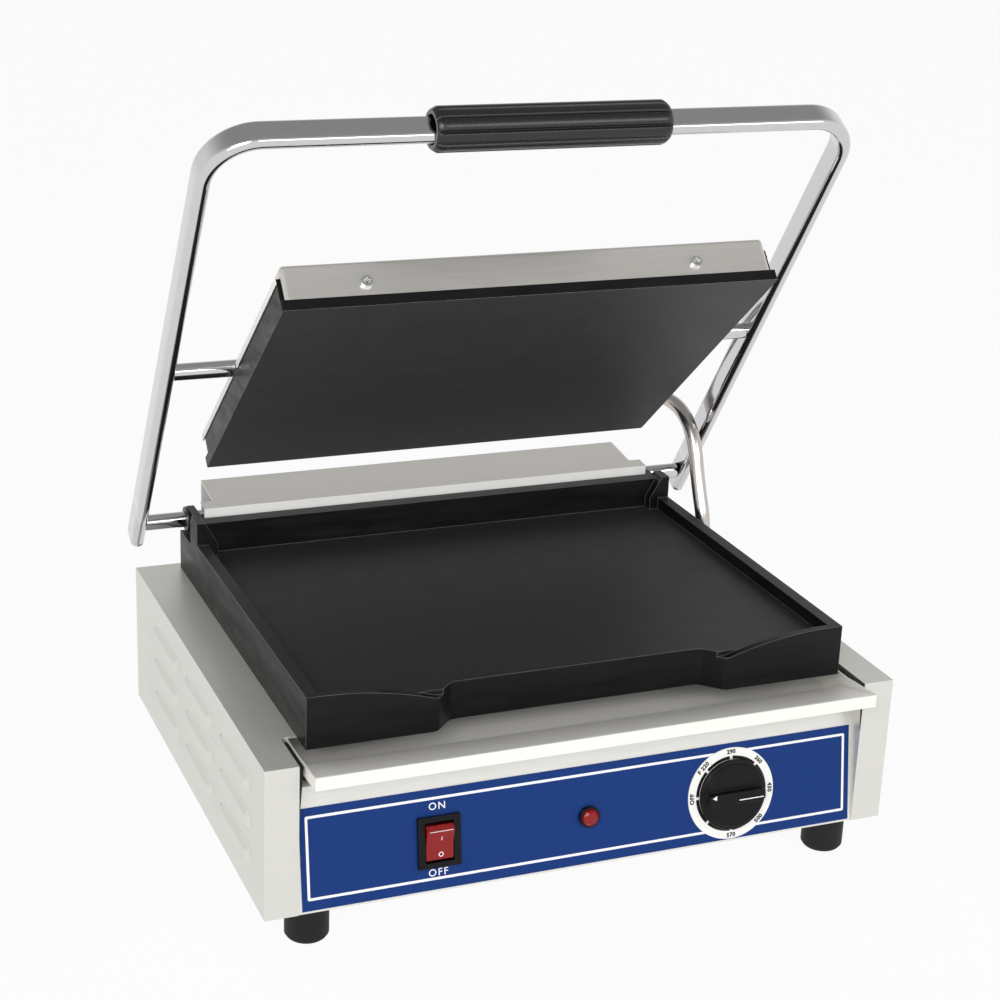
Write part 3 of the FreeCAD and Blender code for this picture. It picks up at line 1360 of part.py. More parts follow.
def insulation_pad():
    body = new_body("insulation_pad")
    level = "upper_recess_floor + 2 * element_radius + clamp_gauge"
    sheet = box_outline(sketch_on(body, "XY", level),
                        ("0 - element_reach - element_radius", "element_reach + element_radius"),
                        ("upper_centre - upper_recess_reach", "upper_centre + upper_recess_reach"))
    for x, y in corners_of("stud_place", ("upper_centre - element_pitch", "upper_centre + element_pitch")):
        circle(sheet, x, y, "2.2 * stud_radius")
    pad(body, sheet, "pad_rise")
    on_lid(body)


def conduit_gland(x, y, surface, gauge):
    """Hexagon gland whose upper bore takes the conduit and whose thread passes the sheet."""
    low = f"{surface} - {gauge} - gland_nut - 1"
    total = f"{gauge} + gland_nut + 1 + gland_rise"
    thread = rod("gland_thread", "Z", (x, y, low), total)
    collar = hexagon("2 * gland_radius + 1", (x, y, surface), "Z", "gland_rise / 2")
    cap = rod("gland_radius", "Z", (x, y, surface), "gland_rise")
    throat = rod("conduit_radius + hole_gap", "Z", (x, y, f"{surface} + 1.5"), "gland_rise")
    bore = rod("conduit_radius - 1.5", "Z", (x, y, low), total)
    return carve(join(thread, collar, cap), throat, bore)


CONDUIT_FROM_BASE = [(0, 0, 1.5), (0, 0, 22), (0, 13, 47), (0, 25, 82), (-2, 44, 100), (-7, 70, 103)]
CONDUIT_FROM_LID = [(60, 42.6, -12.6), (35, 44.6, 15.4), (12, 30.6, 30.5)]


def conduit():
    """Flexible sleeve that carries the wires from the housing up to the lid."""
    base = point("conduit_place", "conduit_back", "deck")
    seat = point("0", "conduit_lid_back", "upper_cover_top + 1.5")
    lean = Rotation(Vector(-1, 0, 0), value("plate_tilt"))
    lid = point("conduit_lid_place", "pin_y", "pin_z") + lean.multVec(seat)
    points = [base + Vector(*offset) for offset in CONDUIT_FROM_BASE]
    points += [lid + Vector(*offset) for offset in CONDUIT_FROM_LID]
    points += [lid + lean.multVec(Vector(0, 0, 19.5)), lid]
    radius = value("conduit_radius")
    print("cord tube radii: conduit", radius)
    return node("conduit", feature(pipe(points, radius)))


# ---------------------------------------------------------------- parts inside the housing

def behind_fascia(x, inward, up):
    """Point in the machine's frame of a spot given in the fascia's frame."""
    lean = Rotation(Vector(-1, 0, 0), value("fascia_tilt"))
    return point("0", "fascia_y", "fascia_z") + lean.multVec(point(x, inward, up))


def thermostat_capillary():
    """Bulb that lies against the lower plate and the fine tube down to the thermostat."""
    start = behind_fascia("dial_place", "fascia_gauge + thermostat_depth", "control_height")
    low, side, row = value("pan_top") + 22, value("capillary_x"), value("lower_centre")
    bulb_radius, tube_radius = value("bulb_radius"), value("capillary_radius")
    top = value("recess_top") - bulb_radius
    bulb_end = value("element_reach") - 50
    lead = value("thermostat_depth")
    stops = [(start.x, start.y, start.z), (start.x, start.y + lead, start.z),
             (side, start.y + 2.7 * lead, low),
             (side, row, low), (side, row, top), (bulb_end, row, top)]
    tube = pipe([Vector(*stop) for stop in stops], tube_radius, bend=8)
    bulb = Part.makeCylinder(bulb_radius, value("bulb_length"), Vector(bulb_end, row, top), Vector(-1, 0, 0))
    return node("thermostat_capillary", feature(tube.fuse(bulb)))


def terminal_block():
    """Screw terminals on the base plate and the earth stud beside them."""
    level, x, y = "pan_top", "block_x", "block_y"
    case = brick((f"{x} - block_length / 2", f"{x} + block_length / 2"), (f"{y} - 11", f"{y} + 11"),
                 (level, f"{level} + 16"))
    wells = [rod("3", "Z", (f"{x} + {step} * block_length / 5", f"{y} + {across}", f"{level} + 7"), "10")
             for step in (-2, -1, 0, 1, 2) for across in (-5, 5)]
    node("terminal_block", carve(case, *wells))
    node("earth_stud", nut(f"{x} + block_length", y, level, "up", "panel_gauge"))


def wire(*stops):
    """Insulated wire through a list of points."""
    return pipe([Vector(*stop) for stop in stops], value("wire_radius"), bend=6)


def internal_wiring():
    """Wires from the mains entry to the terminals, the controls, the lower element and the conduit."""
    block = point("block_x", "block_y", "pan_top + 16")
    entry = point("entry_place", "half_depth - 3 * panel_gauge - gland_nut - 2", "foot_height + entry_height")
    switch_back = behind_fascia("0 - switch_place - 5", "well_depth + 8.6", "control_height + 8.4")
    dial_back = behind_fascia("dial_place + 10", "fascia_gauge + thermostat_depth", "control_height + 10")
    leg = point("0 - element_reach - element_end", "lower_centre - 0.5 * element_pitch",
                "lower_element_level - lower_leg")
    gland = point("conduit_place", "conduit_back", "deck - panel_gauge - gland_nut - 1")
    high = block.z + 18
    step = value("block_length") / 5
    near, far = block.y - 5, block.y + 5
    wires = [
        wire((entry.x, entry.y, entry.z), (entry.x, far + 30, entry.z),
             (block.x - 2 * step, far + 22, high), (block.x - 2 * step, far, high),
             (block.x - 2 * step, far, block.z - 8)),
        wire((switch_back.x, switch_back.y, switch_back.z), (switch_back.x, -90, high),
             (block.x - step, near - 30, high), (block.x - step, near, high),
             (block.x - step, near, block.z - 8)),
        wire((dial_back.x, dial_back.y, dial_back.z), (dial_back.x, -90, high - 4),
             (block.x, near - 40, high - 4), (block.x, near, high - 4), (block.x, near, block.z - 8)),
        wire((leg.x, leg.y, leg.z), (leg.x, leg.y, high + 4), (block.x - step, leg.y, high + 4),
             (block.x - step, far, high + 4), (block.x - step, far, block.z - 8)),
        wire((gland.x, gland.y, gland.z), (gland.x, gland.y, high - 6), (block.x + step, far + 12, high - 6),
             (block.x + step, far, high - 6), (block.x + step, far, block.z - 8)),
    ]
    return node("internal_wiring", feature(Part.makeCompound(wires)))


# ---------------------------------------------------------------- assembly

def build():
    side_panel("left_side_panel", -1)
    side_panel("right_side_panel", 1)
    base_plate()
    rear_panel()
    rubber_feet()
    housing_fasteners()
    cable_gland()
    gland_nuts()
    front_fascia()
    control_label()
    switch()
    pilot_lamp()
    thermostat()
    drip_tray()
    tray_rails()
    lower_griddle()
    hinge_bushes()
    rear_hinge_cover()
    heating_element("lower_heating_element", "lower_centre", "lower_element_level", "0 - lower_leg")
    element_clamp("lower", "lower_centre", "recess_top - 2 * element_radius - clamp_gauge", "down")
    heat_shield()
    handle_frame()
    arm_end_caps()
    handle_grip()
    hinge_shaft()
    torsion_springs()
    pivot_pins()
    upper_griddle()
    upper_cover()
    upper_cover_screws()
    on_lid(heating_element("upper_heating_element", "upper_centre", "upper_element_level", "upper_leg"))
    for thing in element_clamp("upper", "upper_centre", "upper_recess_floor + 2 * element_radius", "up"):
        on_lid(thing)
    insulation_pad()
    node("base_conduit_gland", conduit_gland("conduit_place", "conduit_back", "deck", "panel_gauge"))
    node("cover_conduit_gland", on_lid(conduit_gland("conduit_lid_place", "conduit_lid_back",
                                                     "upper_cover_top", "cover_gauge")))
    conduit()
    thermostat_capillary()
    terminal_block()
    internal_wiring()


def check_and_export():
    """Recompute, refuse any broken object, then write every sub-part to its own file."""
    doc.recompute()
    faults = [thing.Label for thing in doc.Objects
              if "Invalid" in thing.State or "Error" in thing.State]
    faults += [thing.Label for thing in nodes if thing.Shape.isNull() or not thing.Shape.isValid()]
    if faults:
        raise RuntimeError("broken objects: " + ", ".join(faults))
    os.makedirs("parts", exist_ok=True)
    for thing in nodes:
        thing.Shape.exportStep(f"parts/{thing.Label}.step")
    whole = Part.makeCompound([thing.Shape for thing in nodes]).BoundBox
    print(len(nodes), "nodes; box", [round(number, 2) for number in (
        whole.XMin, whole.XMax, whole.YMin, whole.YMax, whole.ZMin, whole.ZMax)])


fill_sheet()
build()
check_and_export()
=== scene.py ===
# %% [markdown]
# # A panini press, open on a pale studio floor
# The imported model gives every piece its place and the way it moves. This notebook gives each piece its
# looks: soft edges on the castings and the folded sheet, chrome on the handle, printing on the dial, and
# light to see it by.

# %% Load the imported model
import json
import math

import bmesh
import bpy
import numpy as np
from mathutils import Matrix, Vector
from mathutils.bvhtree import BVHTree


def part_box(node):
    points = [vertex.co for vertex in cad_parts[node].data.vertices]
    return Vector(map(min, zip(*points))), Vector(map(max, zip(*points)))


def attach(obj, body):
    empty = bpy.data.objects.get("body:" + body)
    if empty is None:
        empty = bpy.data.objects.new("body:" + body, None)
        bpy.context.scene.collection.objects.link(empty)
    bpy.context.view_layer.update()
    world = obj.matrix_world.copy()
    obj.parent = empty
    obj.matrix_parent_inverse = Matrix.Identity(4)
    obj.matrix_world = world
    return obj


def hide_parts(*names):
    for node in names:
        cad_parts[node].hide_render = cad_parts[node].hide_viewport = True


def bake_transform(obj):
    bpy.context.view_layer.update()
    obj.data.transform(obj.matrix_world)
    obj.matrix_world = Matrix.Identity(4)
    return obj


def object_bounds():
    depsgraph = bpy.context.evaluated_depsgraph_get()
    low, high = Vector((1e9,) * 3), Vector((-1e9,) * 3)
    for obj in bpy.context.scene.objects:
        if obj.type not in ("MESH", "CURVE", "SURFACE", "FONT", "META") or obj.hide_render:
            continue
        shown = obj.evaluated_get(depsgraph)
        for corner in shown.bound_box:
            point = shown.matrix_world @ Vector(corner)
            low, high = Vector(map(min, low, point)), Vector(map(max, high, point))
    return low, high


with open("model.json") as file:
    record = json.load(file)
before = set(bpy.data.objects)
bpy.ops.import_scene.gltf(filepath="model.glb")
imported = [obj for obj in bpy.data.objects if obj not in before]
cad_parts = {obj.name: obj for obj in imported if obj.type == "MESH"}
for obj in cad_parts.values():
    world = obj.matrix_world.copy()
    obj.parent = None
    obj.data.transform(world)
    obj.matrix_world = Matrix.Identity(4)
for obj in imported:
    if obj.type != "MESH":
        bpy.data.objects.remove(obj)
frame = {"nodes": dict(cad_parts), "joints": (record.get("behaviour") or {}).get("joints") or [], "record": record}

MM = 0.001
scene = bpy.context.scene
nodes = frame["nodes"]
cad_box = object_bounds()
bodies = frame["record"]["behaviour"]["bodies"]
body_named = {node: body for body, members in bodies.items() for node in members}

# %% [markdown]
# ## Frames to work in
# The control panel leans back a little, the handle leans back more, and the raised plate hangs between the
# handle's arms at its own angle. It is easier to draw a dial or a tube upright and then lean it, so each of
# these has a matrix that takes a point from its own upright frame to its place on the machine.

# %% Frames of the control panel, the handle and the raised plate


def leaning(origin, degrees):
    """Matrix that leans the top backwards by some degrees and then moves it to its origin."""
    return Matrix.Translation(Vector(origin)) @ Matrix.Rotation(-math.radians(degrees), 4, "X")


joints = {joint["name"]: joint for joint in frame["joints"]}
hinge = Vector(joints["handle_hinge"]["pos_m"])
pin = Vector(joints["plate_hinge"]["pos_m"])
arm_lean = math.degrees(math.atan2(pin.z - hinge.z, hinge.y - pin.y))
PANEL_LEAN, PLATE_LEAN = 8.7, 41.1
panel_frame = leaning((0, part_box("front_fascia")[0].y, 0.025), PANEL_LEAN)
handle_frame = leaning(hinge, arm_lean)
plate_frame = leaning(pin, PLATE_LEAN)
print("arms lean", round(arm_lean, 2), "degrees")

# %% [markdown]
# ## Meshes from arrays
# A surface is a grid of points: the rows run one way over it and the columns the other. This helper turns
# such a grid into a mesh. It can join the last column to the first, as on a tube, and close each end with a
# flat face.

# %% Turn a grid of points into a mesh


def link(obj):
    """Bring an object into the scene."""
    scene.collection.objects.link(obj)
    return obj


def points_of(mesh):
    """All points of a mesh as one array."""
    points = np.empty(len(mesh.vertices) * 3, np.float32)
    mesh.vertices.foreach_get("co", points)
    return points.reshape(-1, 3).astype(float)


def from_faces(name, points, faces, smooth=True):
    """New object from an array of points and a list of faces."""
    mesh = bpy.data.meshes.new(name)
    mesh.from_pydata(np.asarray(points, float).reshape(-1, 3).tolist(), [], faces)
    mesh.validate()
    if smooth:
        mesh.shade_smooth()
    return link(bpy.data.objects.new(name, mesh))


def grid_faces(rows, columns, wrap, loop):
    """Four-cornered faces: each joins a point, its neighbour, and the same two in the next row."""
    row, column = np.meshgrid(np.arange(rows if loop else rows - 1),
                              np.arange(columns if wrap else columns - 1), indexing="ij")
    after, following = (row + 1) % rows, (column + 1) % columns
    corners = [row * columns + column, row * columns + following,
               after * columns + following, after * columns + column]
    return np.stack(corners, axis=-1).reshape(-1, 4)


def from_grid(name, points, wrap=False, loop=False, caps=False, smooth=True):
    """Surface through points of shape (rows, columns, 3); wrap joins its columns, loop its rows."""
    rows, columns = points.shape[:2]
    faces = grid_faces(rows, columns, wrap, loop).tolist()
    if caps:
        faces.append(list(range(columns))[::-1])
        faces.append(list(range((rows - 1) * columns, rows * columns)))
    return from_faces(name, points, faces, smooth)


def placed(obj, matrix):
    """Put a piece drawn in its own upright frame where it belongs, inside its mesh."""
    obj.data.transform(matrix)
    obj.data.update()
    return obj


def gathered(name, parts, closed=True):
    """One piece made of several; the faces of closed shapes are turned outwards, open sheets keep theirs."""
    work = bmesh.new()
    for part in parts:
        work.from_mesh(part.data)
        bpy.data.objects.remove(part)
    if closed:
        bmesh.ops.recalc_face_normals(work, faces=work.faces)
    mesh = bpy.data.meshes.new(name)
    work.to_mesh(mesh)
    work.free()
    return link(bpy.data.objects.new(name, mesh))


def first_surface(node, start, way):
    """Where a straight line from a point first meets a piece, and which way its surface faces there."""
    mesh = nodes[node].data
    mesh.calc_loop_triangles()
    corners = np.empty(len(mesh.loop_triangles) * 3, np.int32)
    mesh.loop_triangles.foreach_get("vertices", corners)
    tree = BVHTree.FromPolygons(points_of(mesh).tolist(), corners.reshape(-1, 3).tolist())
    return tree.ray_cast(Vector(start), Vector(way))[:2]


SHARP = 38


def rounded_edges(piece, radius, angle=SHARP, edge_finish=None):
    """Round edges sharper than an angle by a radius in millimetres; the rounding may have its own finish."""
    bevel = piece.modifiers.new("Rounded edges", "BEVEL")
    bevel.width = radius * MM
    bevel.segments = 2
    bevel.limit_method = "ANGLE"
    bevel.angle_limit = math.radians(angle)
    level = piece.modifiers.new("Flat faces stay flat", "WEIGHTED_NORMAL")
    level.weight = 100
    level.keep_sharp = True
    if edge_finish:
        piece.data.materials.append(edge_finish)
        bevel.material = len(piece.data.materials) - 1


print("edges count as sharp from", SHARP, "degrees")

# %% [markdown]
# ## Effects that several finishes share
# Brushed sheet steel has fine streaks that all run one way, and a rough casting has coarser ones from its
# mould. Ground iron, zinc plating and moulded plastic are finely pebbled. Both effects are shader node
# groups with named inputs, so that one effect can serve many materials, each with its own numbers.

# %% Node groups


def shader_group(name, inputs, outputs):
    """Empty node group with float or vector inputs and float outputs."""
    group = bpy.data.node_groups.new(name, "ShaderNodeTree")
    for label, kind, default in inputs:
        socket = group.interface.new_socket(label, in_out="INPUT", socket_type=kind)
        socket.default_value = default
    for label in outputs:
        group.interface.new_socket(label, in_out="OUTPUT", socket_type="NodeSocketFloat")
    return group, group.nodes.new("NodeGroupInput"), group.nodes.new("NodeGroupOutput")


def math_node(group, kind, first, second):
    """Arithmetic on two sockets or numbers."""
    node = group.nodes.new("ShaderNodeMath")
    node.operation = kind
    for socket, value in zip(node.inputs, (first, second)):
        if isinstance(value, (int, float)):
            socket.default_value = value
        else:
            group.links.new(value, socket)
    return node.outputs[0]


def make_grain():
    """Noise stretched by three scales, less a half: the streaks of a brushed sheet or a rough casting."""
    group, inputs, outputs = shader_group(
        "Grain", [("Scale", "NodeSocketVector", (900, 30, 900)), ("Amount", "NodeSocketFloat", 0.1)],
        ["Value"])
    place = group.nodes.new("ShaderNodeTexCoord")
    stretch = group.nodes.new("ShaderNodeVectorMath")
    stretch.operation = "MULTIPLY"
    noise = group.nodes.new("ShaderNodeTexNoise")
    noise.inputs["Scale"].default_value = 1
    noise.inputs["Detail"].default_value = 3
    group.links.new(place.outputs["Object"], stretch.inputs[0])
    group.links.new(inputs.outputs["Scale"], stretch.inputs[1])
    group.links.new(stretch.outputs[0], noise.inputs["Vector"])
    centred = math_node(group, "SUBTRACT", noise.outputs[0], 0.5)
    group.links.new(math_node(group, "MULTIPLY", centred, inputs.outputs["Amount"]), outputs.inputs["Value"])
    return group


def make_pebble():
    """Rounded lumps of several sizes: the fine skin of ground iron, plating and moulded plastic."""
    group, inputs, outputs = shader_group(
        "Pebble", [("Size", "NodeSocketFloat", 300), ("Amount", "NodeSocketFloat", 1)], ["Value"])
    place = group.nodes.new("ShaderNodeTexCoord")
    noise = group.nodes.new("ShaderNodeTexNoise")
    noise.inputs["Detail"].default_value = 4
    noise.inputs["Roughness"].default_value = 0.62
    group.links.new(place.outputs["Object"], noise.inputs["Vector"])
    group.links.new(inputs.outputs["Size"], noise.inputs["Scale"])
    group.links.new(math_node(group, "MULTIPLY", noise.outputs[0], inputs.outputs["Amount"]),
                    outputs.inputs["Value"])
    return group


GRAIN, PEBBLE = make_grain(), make_pebble()
print("groups:", GRAIN.name, PEBBLE.name)

# %% [markdown]
# ## Finishes
# A finish is a colour, how metallic and how rough it is, and what varies over it. The helper below builds
# them all: a base colour shaded up and down by one effect, a roughness that follows it, and a bump that
# lets light catch it.

# %% A finish from a colour, a roughness and an effect


def linear(red, green, blue):
    """Screen colour from 0 to 255 as a shader takes it: a power of 2.4, or a thirteenth if very dark."""
    return tuple((value / 255 / 12.92) if value <= 10 else ((value / 255 + 0.055) / 1.055) ** 2.4
                 for value in (red, green, blue))


def effect_node(tree, group, **values):
    """One of the shared effects, placed in a material with its own values."""
    node = tree.nodes.new("ShaderNodeGroup")
    node.node_tree = group
    for label, value in values.items():
        node.inputs[label].default_value = value
    return node.outputs["Value"]


def shift(tree, base, effect, amount, low=0.0, high=1.0):
    """A number moved up and down by an effect, kept between two limits."""
    scaled = tree.nodes.new("ShaderNodeMath")
    scaled.operation = "MULTIPLY_ADD"
    tree.links.new(effect, scaled.inputs[0])
    scaled.inputs[1].default_value = amount
    scaled.inputs[2].default_value = base
    kept = tree.nodes.new("ShaderNodeClamp")
    tree.links.new(scaled.outputs[0], kept.inputs["Value"])
    kept.inputs["Min"].default_value = low
    kept.inputs["Max"].default_value = high
    return kept.outputs[0]


def tinted(tree, colour, effect, amount):
    """A colour made lighter and darker by an effect."""
    mix = tree.nodes.new("ShaderNodeMix")
    mix.data_type = "RGBA"
    mix.inputs["A"].default_value = (*[c * (1 - amount) for c in colour], 1)
    mix.inputs["B"].default_value = (*[min(1, c * (1 + amount)) for c in colour], 1)
    tree.links.new(shift(tree, 0.5, effect, 1.0), mix.inputs["Factor"])
    return mix.outputs["Result"]


def finish(name, colour, rough, metal=0.0, grain=None, pebble=900.0, tone=0.1, rough_tone=0.2, bump=0.0,
           depth=0.02, lacquer=0.0, **settings):
    """Material with one effect: grain stretches brushed streaks, pebble sets how fine cast lumps are."""
    material = bpy.data.materials.new(name)
    material.use_nodes = True
    tree = material.node_tree
    shader = tree.nodes["Principled BSDF"]
    shader.inputs["Metallic"].default_value = metal
    shader.inputs["Coat Weight"].default_value = lacquer
    for label, value in settings.items():
        shader.inputs[label.replace("_", " ")].default_value = value
    if grain is not None:
        effect = effect_node(tree, GRAIN, Scale=grain, Amount=1.0)
        centred = effect
    else:
        effect = effect_node(tree, PEBBLE, Size=pebble, Amount=1.0)
        centred = math_node(tree, "SUBTRACT", effect, 0.5)
    tree.links.new(tinted(tree, linear(*colour), centred, tone), shader.inputs["Base Color"])
    tree.links.new(shift(tree, rough, centred, rough_tone, 0.02), shader.inputs["Roughness"])
    if bump:
        lift = tree.nodes.new("ShaderNodeBump")
        lift.inputs["Strength"].default_value = bump
        lift.inputs["Distance"].default_value = depth * MM
        tree.links.new(effect, lift.inputs["Height"])
        tree.links.new(lift.outputs["Normal"], shader.inputs["Normal"])
    return material


print("screen grey 128 is", round(linear(128, 128, 128)[0], 3), "to a shader")

# %% [markdown]
# ## Metals
# The housing is brushed stainless steel with its streaks running from front to back on the sides and across
# on the front. The handle is chromed tube. The plates are black cast iron, streaky where the mould left it
# and even where it is ground flat, so one casting has two finishes, and a third, lighter one along its edges
# that is partly wear and partly a painted highlight. The lighter steels of the folds and of the lid's
# forward faces are painted light.

# %% Metal finishes
ALONG, ACROSS = (700, 25, 700), (25, 700, 700)
steel_side = finish("Steel brushed along", (219, 218, 212), 0.42, 0.6, grain=ALONG, tone=0.06,
                    rough_tone=0.12, bump=0.08)
steel_cross = finish("Steel brushed across", (226, 225, 220), 0.4, 0.6, grain=ACROSS, tone=0.07,
                     rough_tone=0.14, bump=0.1)
steel_tray = finish("Satin steel of the tray", (242, 240, 234), 0.5, 0.2, grain=ACROSS, tone=0.07,
                    rough_tone=0.14, bump=0.1)
# Lighter, glossier steel for the bevels along the folds: a painted highlight.
steel_fold_highlight = finish("Steel polished by bending", (244, 244, 242), 0.3, 0.75, grain=ALONG, tone=0.03)
chrome = finish("Polished chrome", (206, 206, 208), 0.07, 1.0, grain=(60, 60, 60), tone=0.03,
                rough_tone=0.04)
plated = finish("Zinc plated steel", (176, 176, 172), 0.38, 0.9, tone=0.08, rough_tone=0.2,
                bump=0.1)
spring_wire = finish("Oiled spring wire", (92, 92, 94), 0.35, 0.9, pebble=1200.0, tone=0.12, bump=0.1)
dark_steel = finish("Blackened steel", (70, 70, 72), 0.4, 0.8, tone=0.15, bump=0.1)
sheath = finish("Heat-darkened sheath", (80, 74, 70), 0.55, 0.7, pebble=700.0, tone=0.25, bump=0.1)
brass = finish("Turned brass", (196, 160, 96), 0.3, 0.95, tone=0.08, bump=0.05)
cast_rough = finish("Cast iron as the mould left it", (13, 13, 14), 0.42, 0.0, grain=(24, 24, 120), tone=0.8,
                    rough_tone=0.4, bump=0.6, depth=0.7, Specular_IOR_Level=0.22)
cast_ground = finish("Cast iron ground flat", (43, 43, 44), 0.5, 0.0, pebble=60.0, tone=0.2, rough_tone=0.2,
                     Specular_IOR_Level=0.25)
# Lighter iron on the lower casting's bevels: partly wear, partly a painted highlight along the edges.
cast_edge_wear_and_highlight = finish("Cast iron rubbed at its edges", (70, 70, 71), 0.36, 0.2, pebble=160.0, tone=0.9,
                   rough_tone=0.3, bump=0.3, depth=0.3)
# Light grey iron on the raised plate's bevels: partly wear, partly a painted highlight along the edges.
raised_edge_wear_and_highlight = finish("Ground edge of the raised plate", (180, 180, 180), 0.34, 0.4, pebble=120.0, tone=0.95,
                     rough_tone=0.3)
steel_lid = finish("Brushed steel of the lid", (222, 219, 213), 0.36, 0.85, grain=ACROSS, tone=0.06,
                   rough_tone=0.12, bump=0.08)
# A lighter, less metallic copy of the lid steel for the lid's forward faces and its skirts: painted light.
lit_lid_steel = finish("Bright folded lip", (246, 245, 242), 0.45, 0.15, grain=ACROSS, tone=0.03, bump=0.05)
screw_bright = finish("Bright screw steel", (225, 225, 225), 0.22, 1.0, pebble=1400.0, tone=0.1,
                      rough_tone=0.2)
raised_ground = finish("Ground face of the raised plate", (61, 61, 62), 0.5, 0.0, pebble=60.0, tone=0.2,
                       rough_tone=0.2, Specular_IOR_Level=0.25)
print("metals ready")

# %% [markdown]
# ## Plastics, rubber and print
# The knob, the switch and the grip are black mouldings, the lamp and the rocker are red and clear, and the
# feet are rubber. Each needs only its own colour, gloss and orange-peel. Print has no depth to speak of, so
# it is a plain colour with hardly any gloss.

# %% Plastics, rubber and printing
black_gloss = finish("Black moulded plastic", (10, 10, 11), 0.28, pebble=1500.0, tone=0.1, bump=0.06,
                     depth=0.05, Specular_IOR_Level=0.2)
# Light grey copy of the black grip plastic for its end faces: a painted highlight.
grip_end_lit = finish("Cut end of the grip", (112, 112, 116), 0.5, pebble=700.0, tone=0.2, bump=0.1,
                  Specular_IOR_Level=0.3)
grip_plastic = finish("Grip plastic", (26, 26, 29), 0.26, pebble=1300.0, tone=0.12, bump=0.08, depth=0.05,
                      Specular_IOR_Level=0.5)
red_plastic = finish("Red translucent plastic", (134, 4, 8), 0.14, pebble=500.0, tone=0.4, lacquer=0.2,
                     Specular_IOR_Level=0.3)
foot_rubber = finish("Foot rubber", (18, 18, 18), 0.62, pebble=1200.0, tone=0.15, bump=0.2, depth=0.05,
                     Specular_IOR_Level=0.3)
label_blue = finish("Blue printed film", (17, 52, 115), 0.4, grain=(6, 500, 500), tone=0.05, bump=0.02,
                    Specular_IOR_Level=0.15)
label_white = finish("White print", (240, 240, 240), 0.4, tone=0.02, Specular_IOR_Level=0.2)
print_black = finish("Black print", (14, 14, 14), 0.45, tone=0.05, Specular_IOR_Level=0.2)
dial_white = finish("Dial white", (240, 240, 236), 0.35, tone=0.02, Specular_IOR_Level=0.3)
sleeve = finish("Satin flexible sleeve", (196, 190, 186), 0.24, 1.0, tone=0.04, rough_tone=0.04)
wool = finish("Mineral wool", (205, 200, 180), 0.95, pebble=600.0, tone=0.2, bump=0.6, depth=0.6)
insulation = finish("Wire insulation", (150, 70, 40), 0.5, tone=0.1, bump=0.1)
print("plastics and prints ready")

# %% [markdown]
# ## One finish for each piece
# Pieces made of the same stock share a finish. Whatever isn't named here, such as nuts, glands and brackets,
# is zinc plated.

# %% Give every piece its finish
STOCK = (
    (steel_side, "left_side_panel right_side_panel tray_rails"),
    (steel_cross, "base_plate rear_panel front_fascia"),
    (steel_tray, "drip_tray"),
    (steel_lid, "rear_hinge_cover upper_cover"),
    (cast_rough, "lower_griddle upper_griddle"),
    (chrome, "handle_frame arm_end_caps pivot_pins hinge_shaft"),
    (sleeve, "conduit"),
    (grip_plastic, "handle_grip"),
    (spring_wire, "pin_retaining_rings torsion_springs"),
    (dark_steel, "hinge_bushes"),
    (brass, "base_gland_nuts lid_gland_nut switch_terminals thermostat_capillary"),
    (black_gloss, "cable_gland switch_housing lamp_body control_knob terminal_block"),
    (foot_rubber, "rubber_feet"),
    (label_blue, "control_label"),
    (red_plastic, "switch_rocker lamp_lens"),
    (dial_white, "dial_plate"),
    (insulation, "internal_wiring"),
    (wool, "insulation_pad"),
    (screw_bright, "upper_cover_screws rear_cover_screws"),
    (sheath, "lower_heating_element upper_heating_element"),
)
FINISHES = {name: material for material, names in STOCK for name in names.split()}


def coat(obj, material):
    """Give a piece one finish all over."""
    obj.data.materials.clear()
    obj.data.materials.append(material)


for name, node in nodes.items():
    coat(node, FINISHES.get(name, plated))
print(len(nodes), "pieces given a finish")

# %% [markdown]
# ## Soft edges on castings and folded sheet
# No real edge is perfectly sharp: sheet is bent over a radius and a casting is rounded where the sand was.
# A sharp edge also catches no light. Each copy below is made of whole flat faces again and then bevelled:
# by a few tenths of a millimetre on screws and sheet, and by a millimetre on the lower casting and the
# rubber feet. The bevels of some pieces get a lighter finish of their own: along the folds it is a painted
# highlight, along the castings' edges partly wear and partly a painted highlight.

# %% Copies of the solids with rounded edges
EDGE_RADII = {
    "left_side_panel": 0.7, "right_side_panel": 0.7, "base_plate": 0.3, "rear_panel": 0.4,
    "front_fascia": 0.4, "drip_tray": 0.5, "rear_hinge_cover": 0.7, "upper_cover": 0.3, "lower_griddle": 1.1,
    "upper_griddle": 0.5, "switch_housing": 0.5, "switch_rocker": 0.5, "control_knob": 0.7, "lamp_body": 0.5,
    "rubber_feet": 1.2, "arm_end_caps": 0.3, "pivot_pins": 0.3, "hinge_shaft": 0.3, "hinge_bushes": 0.4,
    "upper_cover_screws": 0.4, "rear_cover_screws": 0.4, "rear_panel_screws": 0.4, "base_conduit_gland": 0.4,
    "cover_conduit_gland": 0.4, "cable_gland": 0.4, "spring_collars": 0.4, "dial_plate": 0.15,
}
FOLDED = "left_side_panel right_side_panel upper_cover rear_hinge_cover front_fascia drip_tray"
# Lighter finishes for the bevels: wear and a painted highlight on the castings, a painted highlight on the folds.
WORN_AND_LIT_EDGES = {"lower_griddle": cast_edge_wear_and_highlight, "upper_griddle": raised_edge_wear_and_highlight,
              **dict.fromkeys(FOLDED.split(), steel_fold_highlight)}
FACING = 0.985
FACING_FINISHES = {
    "lower_griddle": (cast_ground, (0, 0, 1)),
    "upper_griddle": (raised_ground, plate_frame.to_3x3() @ Vector((0, 0, -1))),
    # The rear cover's forward-facing faces get the lighter lid steel: painted light.
    "rear_hinge_cover": (lit_lid_steel, (0, -1, 0)),
}


